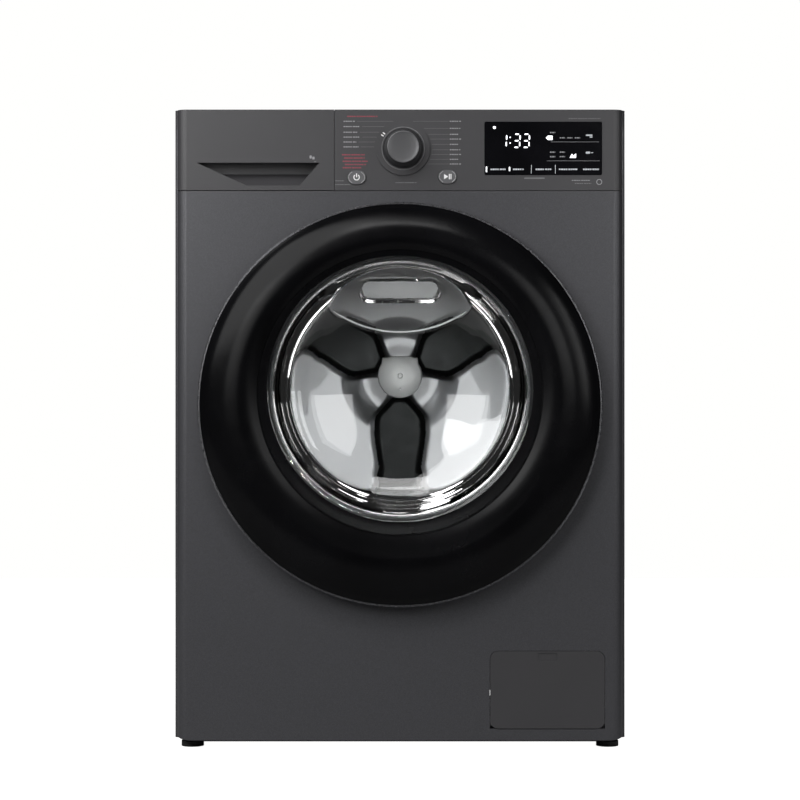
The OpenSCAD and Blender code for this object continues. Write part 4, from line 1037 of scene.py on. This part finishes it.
def studio():
    """Pale floor, a dark plate under the machine as painted shadow, soft boxes above and beside the front,
    and the camera square on to it.
    """
    x0, x1, y0, y1, z = -3.0, 3.0, -1.1, 2.6, -0.0002
    verts = [(x0, y0, z), (x1, y0, z), (x1, y1, z), (x0, y1, z)]
    mesh_piece("studio_floor", verts, [(0, 1, 2, 3)], floor_white)
    # A dark sheet on the floor under the machine's footprint: painted shadow where the bright floor would
    # show beneath it.
    x, y0, y1, z = 0.28, -0.19, 0.285, 0.0002
    verts = [(-x, y0, z), (x, y0, z), (x, y1, z), (-x, y1, z)]
    mesh_piece("studio_painted_shadow", verts, [(0, 1, 2, 3)], floor_painted_shadow)

    world = bpy.data.worlds.new("studio")
    bpy.context.scene.world = world
    world.use_nodes = True
    nodes, links = world.node_tree.nodes, world.node_tree.links
    dim = nodes["Background"]
    dim.inputs["Color"].default_value = (1.0, 1.0, 1.0, 1)
    dim.inputs["Strength"].default_value = 0.015
    bright = nodes.new("ShaderNodeBackground")
    bright.inputs["Color"].default_value = (1.0, 1.0, 0.99, 1)
    path = nodes.new("ShaderNodeLightPath")
    mix = nodes.new("ShaderNodeMixShader")
    links.new(path.outputs["Is Camera Ray"], mix.inputs["Fac"])
    links.new(dim.outputs["Background"], mix.inputs[1])
    links.new(bright.outputs["Background"], mix.inputs[2])
    links.new(mix.outputs["Shader"], nodes["World Output"].inputs["Surface"])

    def soft_box(name, place, target, width, height, power):
        data = bpy.data.lights.new(name, "AREA")
        data.shape = "RECTANGLE"
        data.size, data.size_y = width, height
        data.energy = power
        lamp = bpy.data.objects.new(name, data)
        bpy.context.collection.objects.link(lamp)
        lamp.location = place
        lamp.rotation_euler = (Vector(target) - Vector(place)).to_track_quat("-Z", "Y").to_euler()

    soft_box("key_left", (-1.2, -1.5, 1.8), (-0.1, -0.26, 0.6), 1.9, 1.9, 47)
    soft_box("top", (0.0, -1.7, 2.2), (0, -0.2, 0.7), 1.0, 0.4, 9)
    soft_box("strip_right", (1.5, -1.3, 1.0), (0.2, -0.2, 0.6), 0.25, 1.0, 4)
    for side in (-1, 1):
        soft_box("side_box", (side * 0.72, -1.6, 0.84), (0, 0.1, 0.5), 0.5, 0.6, 3)

    soft_box("back_fill", (0.9, 2.3, 1.7), (0, 0.2, 0.4), 1.4, 1.4, 40)

    data = bpy.data.lights.new("drum_spot", "SPOT")
    data.energy = 66
    data.spot_size = math.radians(5.4)
    data.spot_blend = 0.4
    data.shadow_soft_size = 0.05
    lamp = bpy.data.objects.new("drum_spot", data)
    bpy.context.collection.objects.link(lamp)
    lamp.location = (0.08, -3.7, 0.58)
    lamp.rotation_euler = (Vector((0, 0.1, 0.43)) - lamp.location).to_track_quat("-Z", "Y").to_euler()

    data = bpy.data.cameras.new("camera")
    data.sensor_width = 36
    camera = bpy.data.objects.new("camera", data)
    bpy.context.collection.objects.link(camera)
    reach, seen = 3.0, 1.062  # distance to the front, and the picture's width there
    camera.location = (0, FRONT_Y - reach, 0.464)
    camera.rotation_euler = (math.radians(90), 0, 0)
    data.lens = data.sensor_width * reach / seen
    bpy.context.scene.camera = camera
    bpy.context.scene.view_settings.view_transform = "Standard"


dress_nodes()
door_ring()
door_trim()
door_glass()
drum_shell()
drum_back()
hub_cap()
bellows()
springs()
fill_hose()
sump_hose()
knob()
knob_surround()
programme_marks()
small_prints()
button_symbols()
display()
studio()
